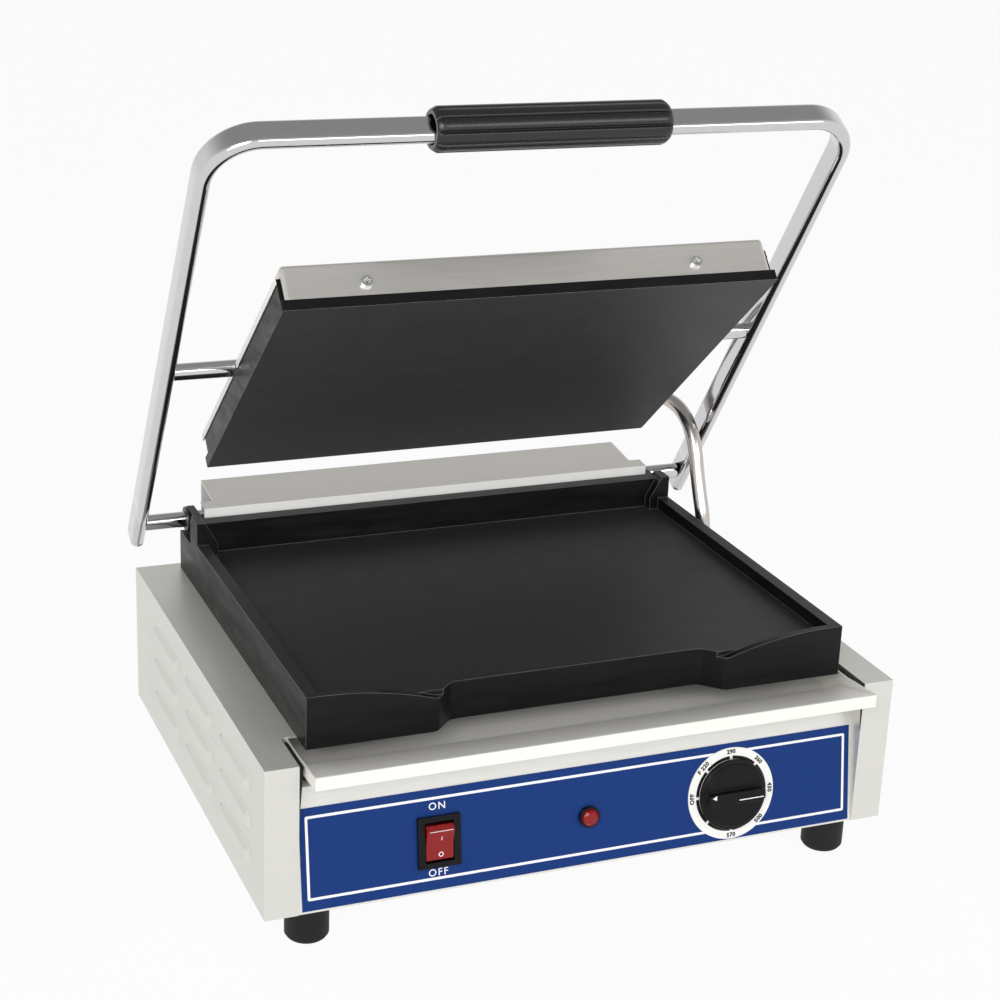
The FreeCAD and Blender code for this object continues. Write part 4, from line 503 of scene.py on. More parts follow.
def merged_copy(name):
    """Mesh of a piece with its doubled points joined and its flat faces made whole."""
    work = bmesh.new()
    work.from_mesh(nodes[name].data)
    bmesh.ops.remove_doubles(work, verts=work.verts, dist=0.01 * MM)
    bmesh.ops.dissolve_limit(work, angle_limit=math.radians(0.5), verts=work.verts, edges=work.edges)
    mesh = bpy.data.meshes.new(name)
    work.to_mesh(mesh)
    work.free()
    mesh.shade_smooth()
    return mesh


def coat_facing(piece, material, *ways):
    """Give the faces that look given ways a finish of their own, such as the ground face of a plate."""
    faces = piece.data.polygons
    normals = np.empty(len(faces) * 3, np.float32)
    faces.foreach_get("normal", normals)
    turned_to = normals.reshape(-1, 3) @ np.array(ways, np.float32).T
    piece.data.materials.append(material)
    faces.foreach_set("material_index", (turned_to > FACING).any(axis=1).astype(np.int32))


def softened(name, radius):
    """Copy of a piece with its edges rounded; it takes that piece's place and moves with its body."""
    piece = link(bpy.data.objects.new("soft_" + name, merged_copy(name)))
    coat(piece, FINISHES.get(name, plated))
    if name in FACING_FINISHES:
        coat_facing(piece, *FACING_FINISHES[name])
    rounded_edges(piece, radius, edge_finish=WORN_AND_LIT_EDGES.get(name))
    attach(piece, body_named[name])
    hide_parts(name)
    return piece


soft = {name: softened(name, radius) for name, radius in EDGE_RADII.items()}
print(len(soft), "pieces with rounded edges")

# %% [markdown]
# ## Two torsion springs
# Two coiled springs hold the handle's weight. One leg of each stays on the base and the other turns with
# its collar; each coil is cut from the pair as a piece of its own.

# %% Torsion springs, one piece for each side
for side, name in ((-1, "left_torsion_spring"), (1, "right_torsion_spring")):
    coil = link(bpy.data.objects.new(name, merged_copy("torsion_springs")))
    work = bmesh.new()
    work.from_mesh(coil.data)
    other_side = [point for point in work.verts if point.co.x * side < 0]
    bmesh.ops.delete(work, geom=other_side, context="VERTS")
    work.to_mesh(coil.data)
    work.free()
    coat(coil, spring_wire)
    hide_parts("torsion_springs")
    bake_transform(coil)

# %% [markdown]
# ## The handle
# The handle is one length of flat-oval tube, bent twice and chromed. Chrome shows every facet, so the tube
# is worked out as a surface: an oval outline is carried along a line of two straight arms, two quarter
# bends and a cross bar.

# %% A profile carried along a flat path


def flat_oval(width, rise, count=20):
    """Outline of a slot: half circles of half the width, moved apart until it is as tall as the rise."""
    radius, reach = width / 2, rise / 2 - width / 2
    upper = np.linspace(0, math.pi, count)
    lower = np.linspace(math.pi, 2 * math.pi, count)
    angle = np.concatenate([upper, lower])
    shift_up = np.concatenate([np.full(count, reach), np.full(count, -reach)])
    return np.stack([radius * np.cos(angle), radius * np.sin(angle) + shift_up], axis=-1)


def bent_bar(half, tail, top, bend, steps=20):
    """Path of the tube in its own plane and its direction there: arm, turn, bar, turn, arm."""
    turn = np.linspace(0, math.pi / 2, steps)
    left = np.stack([bend - half - bend * np.cos(turn), bend - top - bend * np.sin(turn)], axis=-1)
    left_way = np.stack([np.sin(turn), -np.cos(turn)], axis=-1)
    right = np.stack([half - bend + bend * np.sin(turn), bend - top - bend * np.cos(turn)], axis=-1)
    right_way = np.stack([np.cos(turn), np.sin(turn)], axis=-1)
    runs = np.linspace(0, 1, 8, endpoint=False)[:, None]
    up = (1 - runs) * np.array([-half, tail]) + runs * left[:1]
    across = ((1 - runs) * left[-1:] + runs * right[:1])[1:]
    down = ((1 - runs) * np.array([half, tail]) + runs * right[-1:])[::-1]
    path = np.concatenate([up, left, across, right, down])
    ahead = [np.tile(direction, (len(run), 1))
             for direction, run in (([0, -1.0], up), ([1.0, 0], across), ([0, 1.0], down))]
    way = np.concatenate([ahead[0], left_way, ahead[1], right_way, ahead[2]])
    return path, way


def carried(name, path, way, profile, matrix):
    """Each path point plus the profile, whose numbers go sideways in the path's plane and out of it."""
    sideways = np.stack([way[:, 1], -way[:, 0]], axis=-1)
    flat = path[:, None, :] + profile[None, :, :1] * sideways[:, None, :]
    lift = np.broadcast_to(profile[None, :, 1:], (*flat.shape[:2], 1))
    points = np.concatenate([flat, lift], axis=-1) * MM
    return placed(from_grid(name, points, wrap=True, caps=True), matrix)


ARM_HALF, ARM_TAIL, ARM_TOP, ARM_BEND = 215.8, 12.4, 375.3, 32.0
TUBE_WIDE, TUBE_DEEP = 9.5, 19.6
path, way = bent_bar(ARM_HALF, ARM_TAIL, ARM_TOP, ARM_BEND)
tube = carried("handle_tube", path, way, flat_oval(TUBE_WIDE, TUBE_DEEP), handle_frame)
coat(tube, chrome)
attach(tube, "handle")
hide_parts("handle_frame")
print("handle tube of", len(tube.data.polygons), "faces")

# %% [markdown]
# ## The grip
# The grip is a moulded sleeve with long shallow ribs that stop hands from slipping. Its outline is a circle
# whose radius dips at every groove. Carried along the bar, chamfered at its ends and hollowed there, it
# makes the whole piece.

# %% Ribbed sleeve over the cross bar
GRIP_RADIUS, GRIP_HALF, RIBS = 14.25, 78.5, 10
GROOVE_DEEP, GROOVE_WIDE, CROWN = 1.5, 0.09, 0.5


def ribbed_sleeve(name):
    """Radius at an angle: a crowned rib less a narrow groove, a bell shape repeated once for every rib."""
    angle = np.linspace(0, 2 * math.pi, RIBS * 24, endpoint=False)
    across = (angle * RIBS / (2 * math.pi) + 0.5) % 1 - 0.5
    groove = GROOVE_DEEP * np.exp(-((0.5 - np.abs(across)) / GROOVE_WIDE) ** 2)
    ribbed = GRIP_RADIUS - groove - CROWN * (2 * across) ** 2
    bore, mouth = GRIP_RADIUS - 5.2, GRIP_RADIUS - 2.0
    inwards = np.array([6.0, 0.6, 0, 0, 1.2, 3.6])
    radii = np.stack([np.full_like(angle, radius) for radius in (bore, bore, bore + 0.6, mouth - 0.4)]
                     + [np.minimum(mouth + 0.6, ribbed), ribbed])
    along = np.concatenate([inwards - GRIP_HALF, np.linspace(-0.9, 0.9, 9) * GRIP_HALF,
                            GRIP_HALF - inwards[::-1]])
    radius = np.concatenate([radii, np.tile(ribbed, (9, 1)), radii[::-1]])
    points = np.stack([np.broadcast_to(along[:, None], radius.shape),
                       radius * np.cos(angle) - ARM_TOP, radius * np.sin(angle)], axis=-1)
    return placed(from_grid(name, points * MM, wrap=True, caps=True), handle_frame)


grip = ribbed_sleeve("ribbed_grip")
coat(grip, grip_plastic)
# The end faces get a light grey copy of the grip's black plastic: a painted highlight.
coat_facing(grip, grip_end_lit, (-1, 0, 0), (1, 0, 0))
rounded_edges(grip, 0.25, 40)
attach(grip, "handle")
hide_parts("handle_grip")
print("grip with", RIBS, "ribs")

# %% [markdown]
# ## The conduit
# Wires reach the lid through a bright flexible sleeve. It leaves its gland straight up, swings backwards
# over the hinge and comes down into the lid's gland. A smooth spline through a few given points gives
# its line. Two lengths of tube follow that line, split at a share of its length. Its places are in metres,
# like those of the imported model.

# %% Route of the conduit
ROUTE = [(0.2, 0.08, 0.1275), (0.2, 0.08, 0.148), (0.2, 0.093, 0.173), (0.2, 0.105, 0.208),
         (0.198, 0.124, 0.226), (0.193, 0.15, 0.229), (0.18, 0.17, 0.247), (0.155, 0.172, 0.275),
         (0.132, 0.158, 0.29), (0.12, 0.1402, 0.2742), (0.12, 0.1274, 0.2596)]


def spline_points(name, route):
    """Points along a smooth spline that has the route's points as its control points."""
    curve = bpy.data.curves.new(name, "CURVE")
    curve.dimensions = "3D"
    curve.resolution_u = 12
    line = curve.splines.new("NURBS")
    line.points.add(len(route) - 1)
    for control, place in zip(line.points, route):
        control.co = (*place, 1)
    line.order_u = 3
    line.use_endpoint_u = True
    holder = link(bpy.data.objects.new(name, curve))
    mesh = bpy.data.meshes.new_from_object(holder)
    bpy.data.objects.remove(holder)
    return points_of(mesh)


def distances(line):
    """Distance from the start of a line to each of its points: the steps between them, added up."""
    return np.concatenate([[0], np.cumsum(np.linalg.norm(np.diff(line, axis=0), axis=1))])


ASIDE = (0.6, -0.5, 0.62)


def hose(name, line, radius, sides=24):
    """Circle carried along a line: every ring lies across the line and starts from one direction aside."""
    way = np.gradient(line, axis=0)
    way /= np.linalg.norm(way, axis=1)[:, None]
    out = np.cross(way, np.array(ASIDE))
    out /= np.linalg.norm(out, axis=1)[:, None]
    side = np.cross(way, out)
    angle = np.linspace(0, 2 * math.pi, sides, endpoint=False)
    cosine, sine = np.cos(angle)[None, :, None], np.sin(angle)[None, :, None]
    ring = cosine * out[:, None, :] + sine * side[:, None, :]
    return from_grid(name, line[:, None, :] + radius * ring, wrap=True, caps=True)


def evenly(line, step):
    """Same line with its points a fixed step apart, and its length."""
    length = distances(line)
    places = np.linspace(0, length[-1], int(length[-1] / step) + 1)
    return np.stack([np.interp(places, length, line[:, axis]) for axis in range(3)], axis=-1), length[-1]


STEP, HINGE_SHARE, CONDUIT_RADIUS = 0.0015, 0.6, 0.0055
line, conduit_length = evenly(spline_points("conduit_route", ROUTE), STEP)
split = int(len(line) * HINGE_SHARE)
lower, upper = line[:split + 1], line[split:]
for name, part, first, second in (("conduit_lower", lower, "base", "handle"),
                                  ("conduit_upper", upper, "handle", "upper_plate")):
    piece = hose(name, part, CONDUIT_RADIUS)
    coat(piece, sleeve)
    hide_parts("conduit")
    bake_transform(piece)
print("conduit", round(conduit_length, 4), "m")

# %% [markdown]
# ## Louvers
# The side panels breathe through nine louvers each. A press pushes the sheet outwards over a soft die and
# shears it at one end, so the form swells gently out of the sheet and only its rear end is cut. Each
# swelling is a height above the sheet: full along the middle and falling smoothly to nothing at its border.
# The cut is not opened: a thin black crescent lies on the sheet there as painted shade.

# %% Swellings over the louvers of both side panels
LOUVER_REACH, LOUVER_RISE, LOUVER_LIFT = 34.5, 7.5, 3.0
LOUVER_PITCH, LOUVER_STEP, LOUVER_PLACE = 88.5, 24.5, -14.5
END_SHARE, EDGE_SHARE, SKIN_CLEAR = 0.24, 0.62, 0.02
CUT_RADIUS, CUT_WIDE, CUT_BEYOND, CUT_CLEAR = 4.6, 2.6, 3.6, 0.06


def smooth_step(value):
    """Rises from 0 to 1 with level ends: three squares less two cubes."""
    value = np.clip(value, 0, 1)
    return value * value * (3 - 2 * value)


def louver_skin(name, side, along, up, wall):
    """Height above the sheet: a smooth step inwards from the ends times one from the long edges."""
    run, climb = np.meshgrid(np.linspace(side, -side, 49), np.linspace(-1, 1, 21), indexing="ij")
    from_ends = smooth_step((1 - np.abs(run)) / END_SHARE)
    height = LOUVER_LIFT * from_ends * smooth_step((1 - np.abs(climb)) / EDGE_SHARE)
    points = np.stack([side * (wall + SKIN_CLEAR + height), along + LOUVER_REACH * run,
                       up + LOUVER_RISE * climb], axis=-1)
    return from_grid(name, points * MM)


def cut_shade(name, side, along, up, wall):
    """Thin crescent of painted shade where a louver's rear end is cut: the gap between two arcs that meet at their
    tips.
    """
    turn = np.linspace(-1.0, 1.0, 13)
    front = np.stack([-CUT_RADIUS * np.cos(turn), CUT_RADIUS * np.sin(turn)], axis=-1)
    back = front + np.stack([CUT_WIDE * np.cos(turn * math.pi / 2), 0 * turn], axis=-1)
    rows = np.stack([back, front][::side])
    points = np.stack([np.full(rows.shape[:2], side * (wall + CUT_CLEAR)), along + rows[..., 0],
                       up + rows[..., 1]], axis=-1)
    return from_grid(name, points * MM, smooth=False)


low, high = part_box("left_side_panel")
panel_level = (low.z + high.z) / 2 / MM
panel_half = -first_surface("left_side_panel", (-1, high.y - 0.03, high.z - 0.01), (1, 0, 0))[0].x / MM
for side, panel in ((-1, "left_side_panel"), (1, "right_side_panel")):
    places = [(LOUVER_PLACE + column * LOUVER_PITCH, panel_level + row * LOUVER_STEP)
              for column in (-1, 0, 1) for row in (-1, 0, 1)]
    swellings = [louver_skin("swelling", side, along, up, panel_half) for along, up in places]
    cut_shades = [cut_shade("cut", side, along + LOUVER_REACH + CUT_BEYOND, up, panel_half) for along, up in places]
    # The cuts are black crescents on the sheet: painted shade where the openings would be.
    for label, parts, material in (("louvers", swellings, steel_side), ("louver_cuts", cut_shades, black_gloss)):
        piece = gathered(panel + "_" + label, parts, closed=False)
        coat(piece, material)
        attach(piece, body_named[panel])
print("louvers stand on walls at", round(panel_half, 2), "mm")

# %% [markdown]
# ## Printing on the control panel
# The panel carries a printed film: a thin white border, ON above the switch and OFF below it, and a dial
# with its numbers. Print could be painted by a shader, but a shape in the shader blurs from close by. A
# film a twentieth of a millimetre thick keeps crisp edges from any distance, and it can be laid on any
# surface by looking for that surface.

# %% Thin films drawn upright and laid on a surface
FILM, IN_FRONT = 0.05, -300


def upright(outline, depth):
    """Rows of (across, up) as points at one depth in an upright frame, whose front faces down the y axis."""
    return np.stack([outline[..., 0], np.full(outline.shape[:-1], depth), outline[..., 1]], axis=-1)


def film_ring(name, outer, inner):
    """Film between two closed outlines: back and front of each as four rows, joined in a loop."""
    rows = np.stack([upright(outer, 0), upright(outer, -FILM), upright(inner, -FILM), upright(inner, 0)])
    return from_grid(name, rows * MM, wrap=True, loop=True, smooth=False)


def film_patch(name, outline):
    """Film inside one closed outline: its back and front rows with a cap on each."""
    rows = np.stack([upright(outline, 0), upright(outline, -FILM)])
    return from_grid(name, rows * MM, wrap=True, caps=True, smooth=False)


def rounded_box(half_width, half_height, radius, count=5):
    """Outline of a box with quarter circles at its corners, round from the lower right."""
    turn = np.linspace(-math.pi / 2, 0, count)[None, :] + np.arange(4)[:, None] * math.pi / 2
    side = np.array([(1, -1), (1, 1), (-1, 1), (-1, -1)])[:, None, :]
    middle = side * np.array([half_width - radius, half_height - radius])
    return (middle + radius * np.stack([np.cos(turn), np.sin(turn)], axis=-1)).reshape(-1, 2)


def surface_behind(node, across, up, leaning_frame=panel_frame):
    """Matrix that lays an upright drawing on a piece, where a line from in front first meets it."""
    start = leaning_frame @ Vector((across * MM, IN_FRONT * MM, up * MM))
    hit, normal = first_surface(node, start, leaning_frame.to_3x3() @ Vector((0, 1, 0)))
    facing = leaning_frame.to_3x3().inverted() @ normal
    tip = Matrix.Rotation(math.atan2(-facing.z, -facing.y), 4, "X")
    return leaning_frame @ Matrix.Translation(leaning_frame.inverted() @ hit) @ tip


def turned(degrees):
    """Turn an upright drawing in its own plane, anticlockwise as it is seen."""
    return Matrix.Rotation(-math.radians(degrees), 4, "Y")


print("films are", FILM, "mm thick")

# %% [markdown]
# ## Words and numbers
# Lettering on a machine is plain and of even weight, so the built-in sans-serif letters serve. A word is
# made solid, centred on its own middle and scaled until it has the height it needs.

# %% Lettering


def lettering(text, height, weight=0.0, spacing=1.1):
    """Word as a film of a given height, centred, upright and facing the front."""
    curve = bpy.data.curves.new(text, "FONT")
    curve.body = text
    curve.offset = weight
    curve.space_character = spacing
    curve.resolution_u = 3
    curve.extrude = 0.01
    holder = link(bpy.data.objects.new(text, curve))
    mesh = bpy.data.meshes.new_from_object(holder)
    bpy.data.objects.remove(holder)
    low, high = points_of(mesh).min(axis=0), points_of(mesh).max(axis=0)
    mesh.transform(Matrix.Translation(-Vector((low + high) / 2)))
    mesh.transform(Matrix.Rotation(math.pi / 2, 4, "X") @ Matrix.Scale(height * MM / (high[1] - low[1]), 4))
    return link(bpy.data.objects.new(text, mesh))


# %% White border line, ON and OFF
LABEL_MIDDLE, BORDER_HALF, BORDER_RISE, BORDER_WIDTH = 35.15, 187.4, 27.15, 1.7
BARE_X, SWITCH_X, WORD_TALL, WORD_WEIGHT = -150, -102.5, 4.8, 0.004
border = film_ring("border", rounded_box(BORDER_HALF, BORDER_RISE, 1.2),
                   rounded_box(BORDER_HALF - BORDER_WIDTH, BORDER_RISE - BORDER_WIDTH, 0.4))
bare_place = surface_behind("control_label", BARE_X, LABEL_MIDDLE)
placed(border, bare_place @ Matrix.Translation((-BARE_X * MM, 0, 0)))
words = [placed(lettering(text, WORD_TALL, WORD_WEIGHT, 1.2), surface_behind("control_label", SWITCH_X, up))
         for text, up in (("ON", 56.3), ("OFF", 12.9))]
print_on_label = gathered("panel_print", [border, *words])
coat(print_on_label, label_white)
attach(print_on_label, body_named["control_label"])
print("border and two words on the panel")

# %% [markdown]
# ## The dial
# Eight black bars lie round the knob with a white gap at each mark, and the temperatures stand outside
# them. Each bar is part of a ring, so its outline is two arcs: one out along the large radius and one back
# along the small one.

# %% Dial marks and numbers
DIAL_X, DIAL_UP = 102.0, 33.4
BAND_INNER, BAND_OUTER, NUMBER_RADIUS, MARK_GAP = 23.5, 25.7, 28.6, 2.0
NUMBER_TALL, NUMBER_WEIGHT = 3.2, 0.05
CLEAR_OF_KNOB = BAND_OUTER + 3


def dial_bar(turn):
    """Outline between two arcs that stop half a gap short of the marks either side."""
    gap = MARK_GAP / 2 / BAND_OUTER
    sweep = np.linspace(gap, math.pi / 4 - gap, 12) + math.radians(turn)
    angle = np.concatenate([sweep, sweep[::-1]])
    radius = np.repeat([BAND_OUTER, BAND_INNER], len(sweep))
    return film_patch("bar", np.stack([radius * np.cos(angle), radius * np.sin(angle)], axis=-1))


beside_knob = surface_behind("dial_plate", DIAL_X, DIAL_UP + CLEAR_OF_KNOB)
on_dial = beside_knob @ Matrix.Translation((0, 0, -CLEAR_OF_KNOB * MM))
marks = [placed(dial_bar(turn), on_dial) for turn in range(0, 360, 45)]
for text, turn, inwards in (("OFF", 180, 0), ("F 220", 135, 0), ("290", 90, 0), ("360", 45, 0), ("430", 0, 0),
                            ("500", -45, 180), ("570", -90, 180)):
    out = math.radians(turn)
    spot = Matrix.Translation((NUMBER_RADIUS * MM * math.cos(out), 0, NUMBER_RADIUS * MM * math.sin(out)))
    number = lettering(text, NUMBER_TALL, NUMBER_WEIGHT)
    marks.append(placed(number, on_dial @ spot @ turned(turn - 90 + inwards)))
dial_print = gathered("dial_print", marks)
coat(dial_print, print_black)
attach(dial_print, body_named["dial_plate"])
print("dial has", len(marks), "marks and numbers")

# %% [markdown]
# ## The knob
# A control knob is a low moulded drum with a bar across it to hold. The softened copy is narrowed a little
# and made lower, towards the dial it stands on. A white pointer on the drum and a line along the bar show
# where it is set.

# %% Pointer and line on the knob
KNOB_SPREAD, KNOB_RISE = 0.95, 0.72
trim = on_dial @ Matrix.Diagonal((KNOB_SPREAD, KNOB_RISE, KNOB_SPREAD, 1)) @ on_dial.inverted()
soft["control_knob"].data.transform(trim)
on_drum = trim @ surface_behind("control_knob", DIAL_X - 18, DIAL_UP + 2.4)
pointer = placed(film_patch("pointer", np.array([(-1.9, 0), (1.3, -1.7), (1.3, 1.7)])), on_drum)
on_bar = trim @ surface_behind("control_knob", DIAL_X + 10, DIAL_UP - 1.4)
line = placed(film_patch("line", rounded_box(9.5, 0.35, 0.3)), on_bar)
knob_print = gathered("knob_print", [pointer, line])
coat(knob_print, label_white)
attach(knob_print, body_named["control_knob"])
print("knob marked")

# %% [markdown]
# ## Marks on the switch
# The rocker has a ring on its OFF half and a short line on its ON half, and a white line along its upper edge is a
# painted highlight.
# The halves slope, so each mark is laid on the surface that lies behind its own place.

# %% Marks on the switch
angle = np.linspace(0, 2 * math.pi, 20, endpoint=False)
circle = np.stack([np.cos(angle), np.sin(angle)], axis=-1)
RING_OUTER, RING_INNER = 1.65, 1.1
off_ring = film_ring("off", circle * RING_OUTER, circle * RING_INNER)
on_line = film_patch("on", rounded_box(0.25, 1.5, 0.2))
# The crest is a white film along the rocker's upper edge: a painted highlight.
crest = film_patch("crest", rounded_box(7.6, 0.22, 0.2))
spots = ((off_ring, -101.3, 25.2), (on_line, -101.0, 36.0), (crest, -101.6, 41.4))
switch_marks = [placed(mark, surface_behind("switch_rocker", across, up)) for mark, across, up in spots]
switch_print = gathered("switch_print", switch_marks)
coat(switch_print, label_white)
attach(switch_print, body_named["switch_rocker"])
print("switch marked")

# %% [markdown]
# ## Painted shade beside the tray
# The side panels stop a few millimetres short of the tray, and dark strips stand for the shade in that gap:
# flat behind, and hanging as a wedge down to the label in front. Each strip is a four-cornered outline with a
# little thickness.

# %% Strips of painted shade beside the tray
PANEL_EDGE, STRIP_EDGE, STRIP_TOP, STRIP_THICK = 194.0, 191.0, 125.4, 0.2
STRIP_BACK, STRIP_FRONT, STRIP_TIP = -133.0, -167.3, 92.0


def shade_strips(side):
    """Four corners at two levels: a flat one between two heights, a hanging one between two depths."""
    flat = np.array([(PANEL_EDGE, STRIP_BACK), (PANEL_EDGE, STRIP_FRONT), (STRIP_EDGE, STRIP_FRONT),
                     (STRIP_EDGE, STRIP_BACK)]) * (side, 1)
    hanging = np.array([(PANEL_EDGE, STRIP_TIP), (PANEL_EDGE, STRIP_TOP), (STRIP_EDGE, STRIP_TOP),
                        (PANEL_EDGE - 0.8, STRIP_TIP)]) * (side, 1)
    lying = np.stack([np.column_stack([flat, np.full(4, STRIP_TOP - drop)]) for drop in (0, STRIP_THICK)])
    upright_rows = np.stack([upright(hanging, STRIP_FRONT + back) for back in (0, STRIP_THICK)])
    return [from_grid("strip", rows * MM, wrap=True, caps=True, smooth=False)
            for rows in (lying, upright_rows)]


tray_shade_strips = gathered("tray_gap_strips", shade_strips(-1) + shade_strips(1))
# The strips take the black of the feet: painted shade in the gap between the panels and the tray.
coat(tray_shade_strips, foot_rubber)
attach(tray_shade_strips, body_named["front_fascia"])
print("painted shade strips beside the tray")

# %% [markdown]
# ## Skirts and screws of the raised lid
# The lid is folded sheet, and its side skirts lap a few millimetres over the casting. They take the lighter,
# painted-lit lid steel, and a thin black strip under each is painted shadow of the gap. A skirt is long and
# of one section, so its box outline is carried along the plate and left open at the pin.

# %% Skirts along the sides of the raised casting
CASTING_SIDE, SKIRT_THICK, PIN_ROOM = 169.2, 0.6, 7.0
SKIRT_LOW, SKIRT_HIGH, GAP_SHADOW_DEEP = -3.3, 0.8, 0.9
SKIRT_RUNS = ((-126.4, -PIN_ROOM), (PIN_ROOM, 113))


def side_strip(side, run, low, high, thick):
    """Box outline in the (across, up) plane at both ends of a run from front to back."""
    outline = rounded_box(thick / 2, (high - low) / 2, thick / 3, 3) + np.array(
        [side * (CASTING_SIDE + thick / 2), (low + high) / 2])
    rows = np.stack([upright(outline, place) for place in run])
    return placed(from_grid("strip", rows * MM, wrap=True, caps=True, smooth=False), plate_frame)


# The skirts take the painted-lit lid steel; the black strips under them are painted shadow of the gap.
for name, low, high, thick, material in (
        ("lid_skirts", SKIRT_LOW, SKIRT_HIGH, SKIRT_THICK, lit_lid_steel),
        ("lid_joints", SKIRT_LOW - GAP_SHADOW_DEEP, SKIRT_LOW, SKIRT_THICK / 2, print_black)):
    strips = gathered(name, [side_strip(side, run, low, high, thick)
                             for side in (-1, 1) for run in SKIRT_RUNS])
    coat(strips, material)
    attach(strips, body_named["upper_cover"])
print("skirts laid over the casting's sides")

# %% [markdown]
# ## Screw heads
# The lid's front screws have cross slots. Each slot is drawn as a dark film laid flat on its head, painted
# shade where the recess would be, turned as a tightened screw happens to stop.

# %% Crosses in the lid's screws
SCREW_X, SCREW_UP, SCREW_TURN = 113.5, -7.4, 20
slots = []
for side in (-1, 1):
    on_head = surface_behind("upper_cover_screws", side * SCREW_X, SCREW_UP, plate_frame)
    slots += [placed(film_patch("slot", rounded_box(wide, tall, 0.2)), on_head @ turned(SCREW_TURN))
              for wide, tall in ((1.7, 0.35), (0.35, 1.7))]
cross_shades = gathered("lid_screw_crosses", slots)
# The black crosses are painted shade where the slots' recesses would be.
coat(cross_shades, print_black)
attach(cross_shades, body_named["upper_cover_screws"])
print(len(slots), "slots laid on the screw heads")

# %% [markdown]
# ## The lamp
# The lamp is a red moulded dome with flat facets that catch light from all sides. Rows of points shrink and
# rise from the rim to the tip as a quarter of a circle does, with few enough points in each row for the
# facets to show.

# %% Faceted lamp dome
LAMP_UP, LAMP_RIM, LAMP_SUNK = 33.4, 6.2, 0.4
DOME_RADIUS, DOME_RISE, TIP_SHARE = 6.1, 4.0, 0.86


def faceted_dome(name, radius, rise, sides=10, rows=4):
    """Radius falls as a cosine and height grows as a sine, from the rim to a small flat tip."""
    climb = np.linspace(0, TIP_SHARE * math.pi / 2, rows)
    half_step = (np.arange(rows) % 2)[:, None] * math.pi / sides
    turn = np.linspace(0, 2 * math.pi, sides, endpoint=False)[None, :] + half_step
    across = radius * np.cos(climb)[:, None]
    points = np.stack([across * np.cos(turn), np.broadcast_to(-rise * np.sin(climb)[:, None], turn.shape),
                       across * np.sin(turn)], axis=-1)
    return from_grid(name, points * MM, wrap=True, caps=True, smooth=False)


on_rim = surface_behind("lamp_body", LAMP_RIM, LAMP_UP)
on_lamp = on_rim @ Matrix.Translation((-LAMP_RIM * MM, LAMP_SUNK * MM, 0))
dome = gathered("lamp_dome", [placed(faceted_dome("dome", DOME_RADIUS, DOME_RISE), on_lamp)])
rounded_edges(dome, 0.15, 10)
coat(dome, red_plastic)
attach(dome, body_named["lamp_lens"])
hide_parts("lamp_lens")
print("lamp dome of", len(dome.data.polygons), "facets")

# %% [markdown]
# ## The camera
# A long lens from a couple of paces away keeps upright edges nearly parallel, as in a catalogue. The camera
# stands to the left of the machine and a little above it, so that the open plates, a side and the panel are
# all in view.

# %% Camera


def aim_camera(place, turn, drop, roll, lens):
    """Camera at a place in metres, turned about the upright, tipped down and rolled in degrees."""
    turn, drop, roll = (math.radians(angle) for angle in (turn, drop, roll))
    forward = Vector((-math.sin(turn) * math.cos(drop), math.cos(turn) * math.cos(drop), -math.sin(drop)))
    right = forward.cross(Vector((0, 0, 1))).normalized()
    up = right.cross(forward)
    rolled_right = right * math.cos(roll) + up * math.sin(roll)
    rolled_up = up * math.cos(roll) - right * math.sin(roll)
    data = bpy.data.cameras.new("Camera")
    data.lens = lens
    data.sensor_width = 36
    data.clip_end = 50
    camera = link(bpy.data.objects.new("Camera", data))
    facing = Matrix((rolled_right, rolled_up, -forward)).transposed().to_4x4()
    camera.matrix_world = Matrix.Translation(Vector(place)) @ facing
    scene.camera = camera


aim_camera((-0.5247, -1.2424, 0.7054), turn=-22.83, drop=19.97, roll=2.34, lens=76.15)
scene.view_settings.view_transform = "Standard"
print("camera with a lens of", round(scene.camera.data.lens, 2), "mm")

# %% [markdown]
# ## The floor
# The machine stands on a plain white floor that runs far behind it. A lit floor alone would look grey, so
# it glows where it is seen or mirrored. What is left of it is a matt white sheet, which takes faint
# shadows.

# %% Floor and backdrop


def seen_or_reflected(tree):
    """One where the camera, a reflection or a clear piece looks straight at the surface, else nothing."""
    rays = tree.nodes.new("ShaderNodeLightPath")
    direct = math_node(tree, "MAXIMUM", rays.outputs["Is Camera Ray"], rays.outputs["Is Glossy Ray"])
    return math_node(tree, "MAXIMUM", direct, rays.outputs["Is Transmission Ray"])


FLOOR_GLOW = 0.92
FAR = 12
corners = [(-FAR, -FAR, 0), (FAR, -FAR, 0), (FAR, FAR, 0), (-FAR, FAR, 0)]
floor_mesh = from_faces("Floor", corners, [[0, 1, 2, 3]], smooth=False)
floor_material = bpy.data.materials.new("Floor")
floor_material.use_nodes = True
tree = floor_material.node_tree
principled = tree.nodes["Principled BSDF"]
principled.inputs["Base Color"].default_value = (0.92, 0.92, 0.92, 1)
principled.inputs["Roughness"].default_value = 0.9
glow = tree.nodes.new("ShaderNodeEmission")
blend = tree.nodes.new("ShaderNodeMixShader")
tree.links.new(math_node(tree, "MULTIPLY", seen_or_reflected(tree), FLOOR_GLOW), blend.inputs[0])
tree.links.new(principled.outputs[0], blend.inputs[1])
tree.links.new(glow.outputs[0], blend.inputs[2])
tree.links.new(blend.outputs[0], tree.nodes["Material Output"].inputs["Surface"])
coat(floor_mesh, floor_material)
print("floor glows with", FLOOR_GLOW, "of full white")

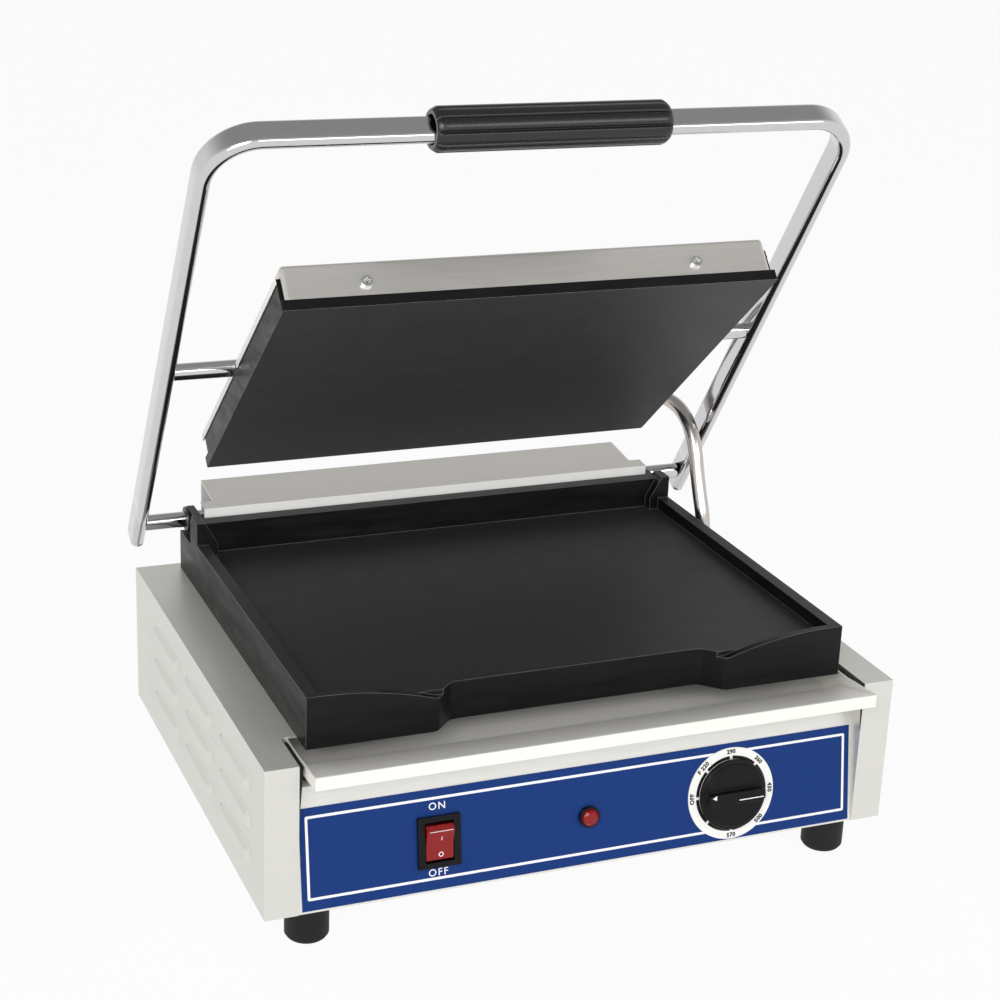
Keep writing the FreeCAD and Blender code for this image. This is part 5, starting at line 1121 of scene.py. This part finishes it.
# %% [markdown]
# ## The light
# A white tent is the classic way to light bright metal: it sees white all round and shows no lamps. This
# sky is such a tent, dimmer overhead and a little dimmer behind the machine. Two large soft lamps in front
# bring out the folds.

# %% World
world = bpy.data.worlds.new("Studio")
scene.world = world
world.use_nodes = True
tree = world.node_tree
background = tree.nodes["Background"]
coordinates = tree.nodes.new("ShaderNodeTexCoord")
parts = tree.nodes.new("ShaderNodeSeparateXYZ")
tree.links.new(coordinates.outputs["Generated"], parts.inputs[0])


def falling(output, high, low, start, end):
    """Smooth change of brightness between two heights of the sky or two directions."""
    change = tree.nodes.new("ShaderNodeMapRange")
    change.interpolation_type = "SMOOTHSTEP"
    for label, value in (("From Min", start), ("From Max", end), ("To Min", high), ("To Max", low)):
        change.inputs[label].default_value = value
    tree.links.new(parts.outputs[output], change.inputs["Value"])
    return change.outputs[0]


overhead = falling("Z", high=1.0, low=0.36, start=0.2, end=0.85)
behind = falling("Y", high=1.0, low=0.9, start=-0.2, end=0.8)
studio = math_node(tree, "MULTIPLY", overhead, behind)
rays = tree.nodes.new("ShaderNodeLightPath")
mix = tree.nodes.new("ShaderNodeMix")
tree.links.new(math_node(tree, "MAXIMUM", rays.outputs["Is Camera Ray"], rays.outputs["Is Transmission Ray"]),
               mix.inputs[0])
tree.links.new(studio, mix.inputs[2])
mix.inputs[3].default_value = 1.0
tree.links.new(mix.outputs[0], background.inputs["Strength"])
background.inputs["Color"].default_value = (1, 1, 1, 1)


def panel_light(name, place, target, size, power):
    """Soft rectangular lamp facing a point."""
    data = bpy.data.lights.new(name, "AREA")
    data.shape = "RECTANGLE"
    data.size, data.size_y = size
    data.energy = power
    lamp = link(bpy.data.objects.new(name, data))
    lamp.location = Vector(place)
    lamp.rotation_euler = (Vector(target) - Vector(place)).to_track_quat("-Z", "Y").to_euler()


middle = (cad_box[0] + cad_box[1]) / 2
panel_light("Key light", (-1.3, -2.2, 1.5), middle, size=(1.6, 1.2), power=34)
panel_light("Strip light", (1.0, -2.3, 1.35), middle, size=(1.9, 0.5), power=12)
print("lights ready")
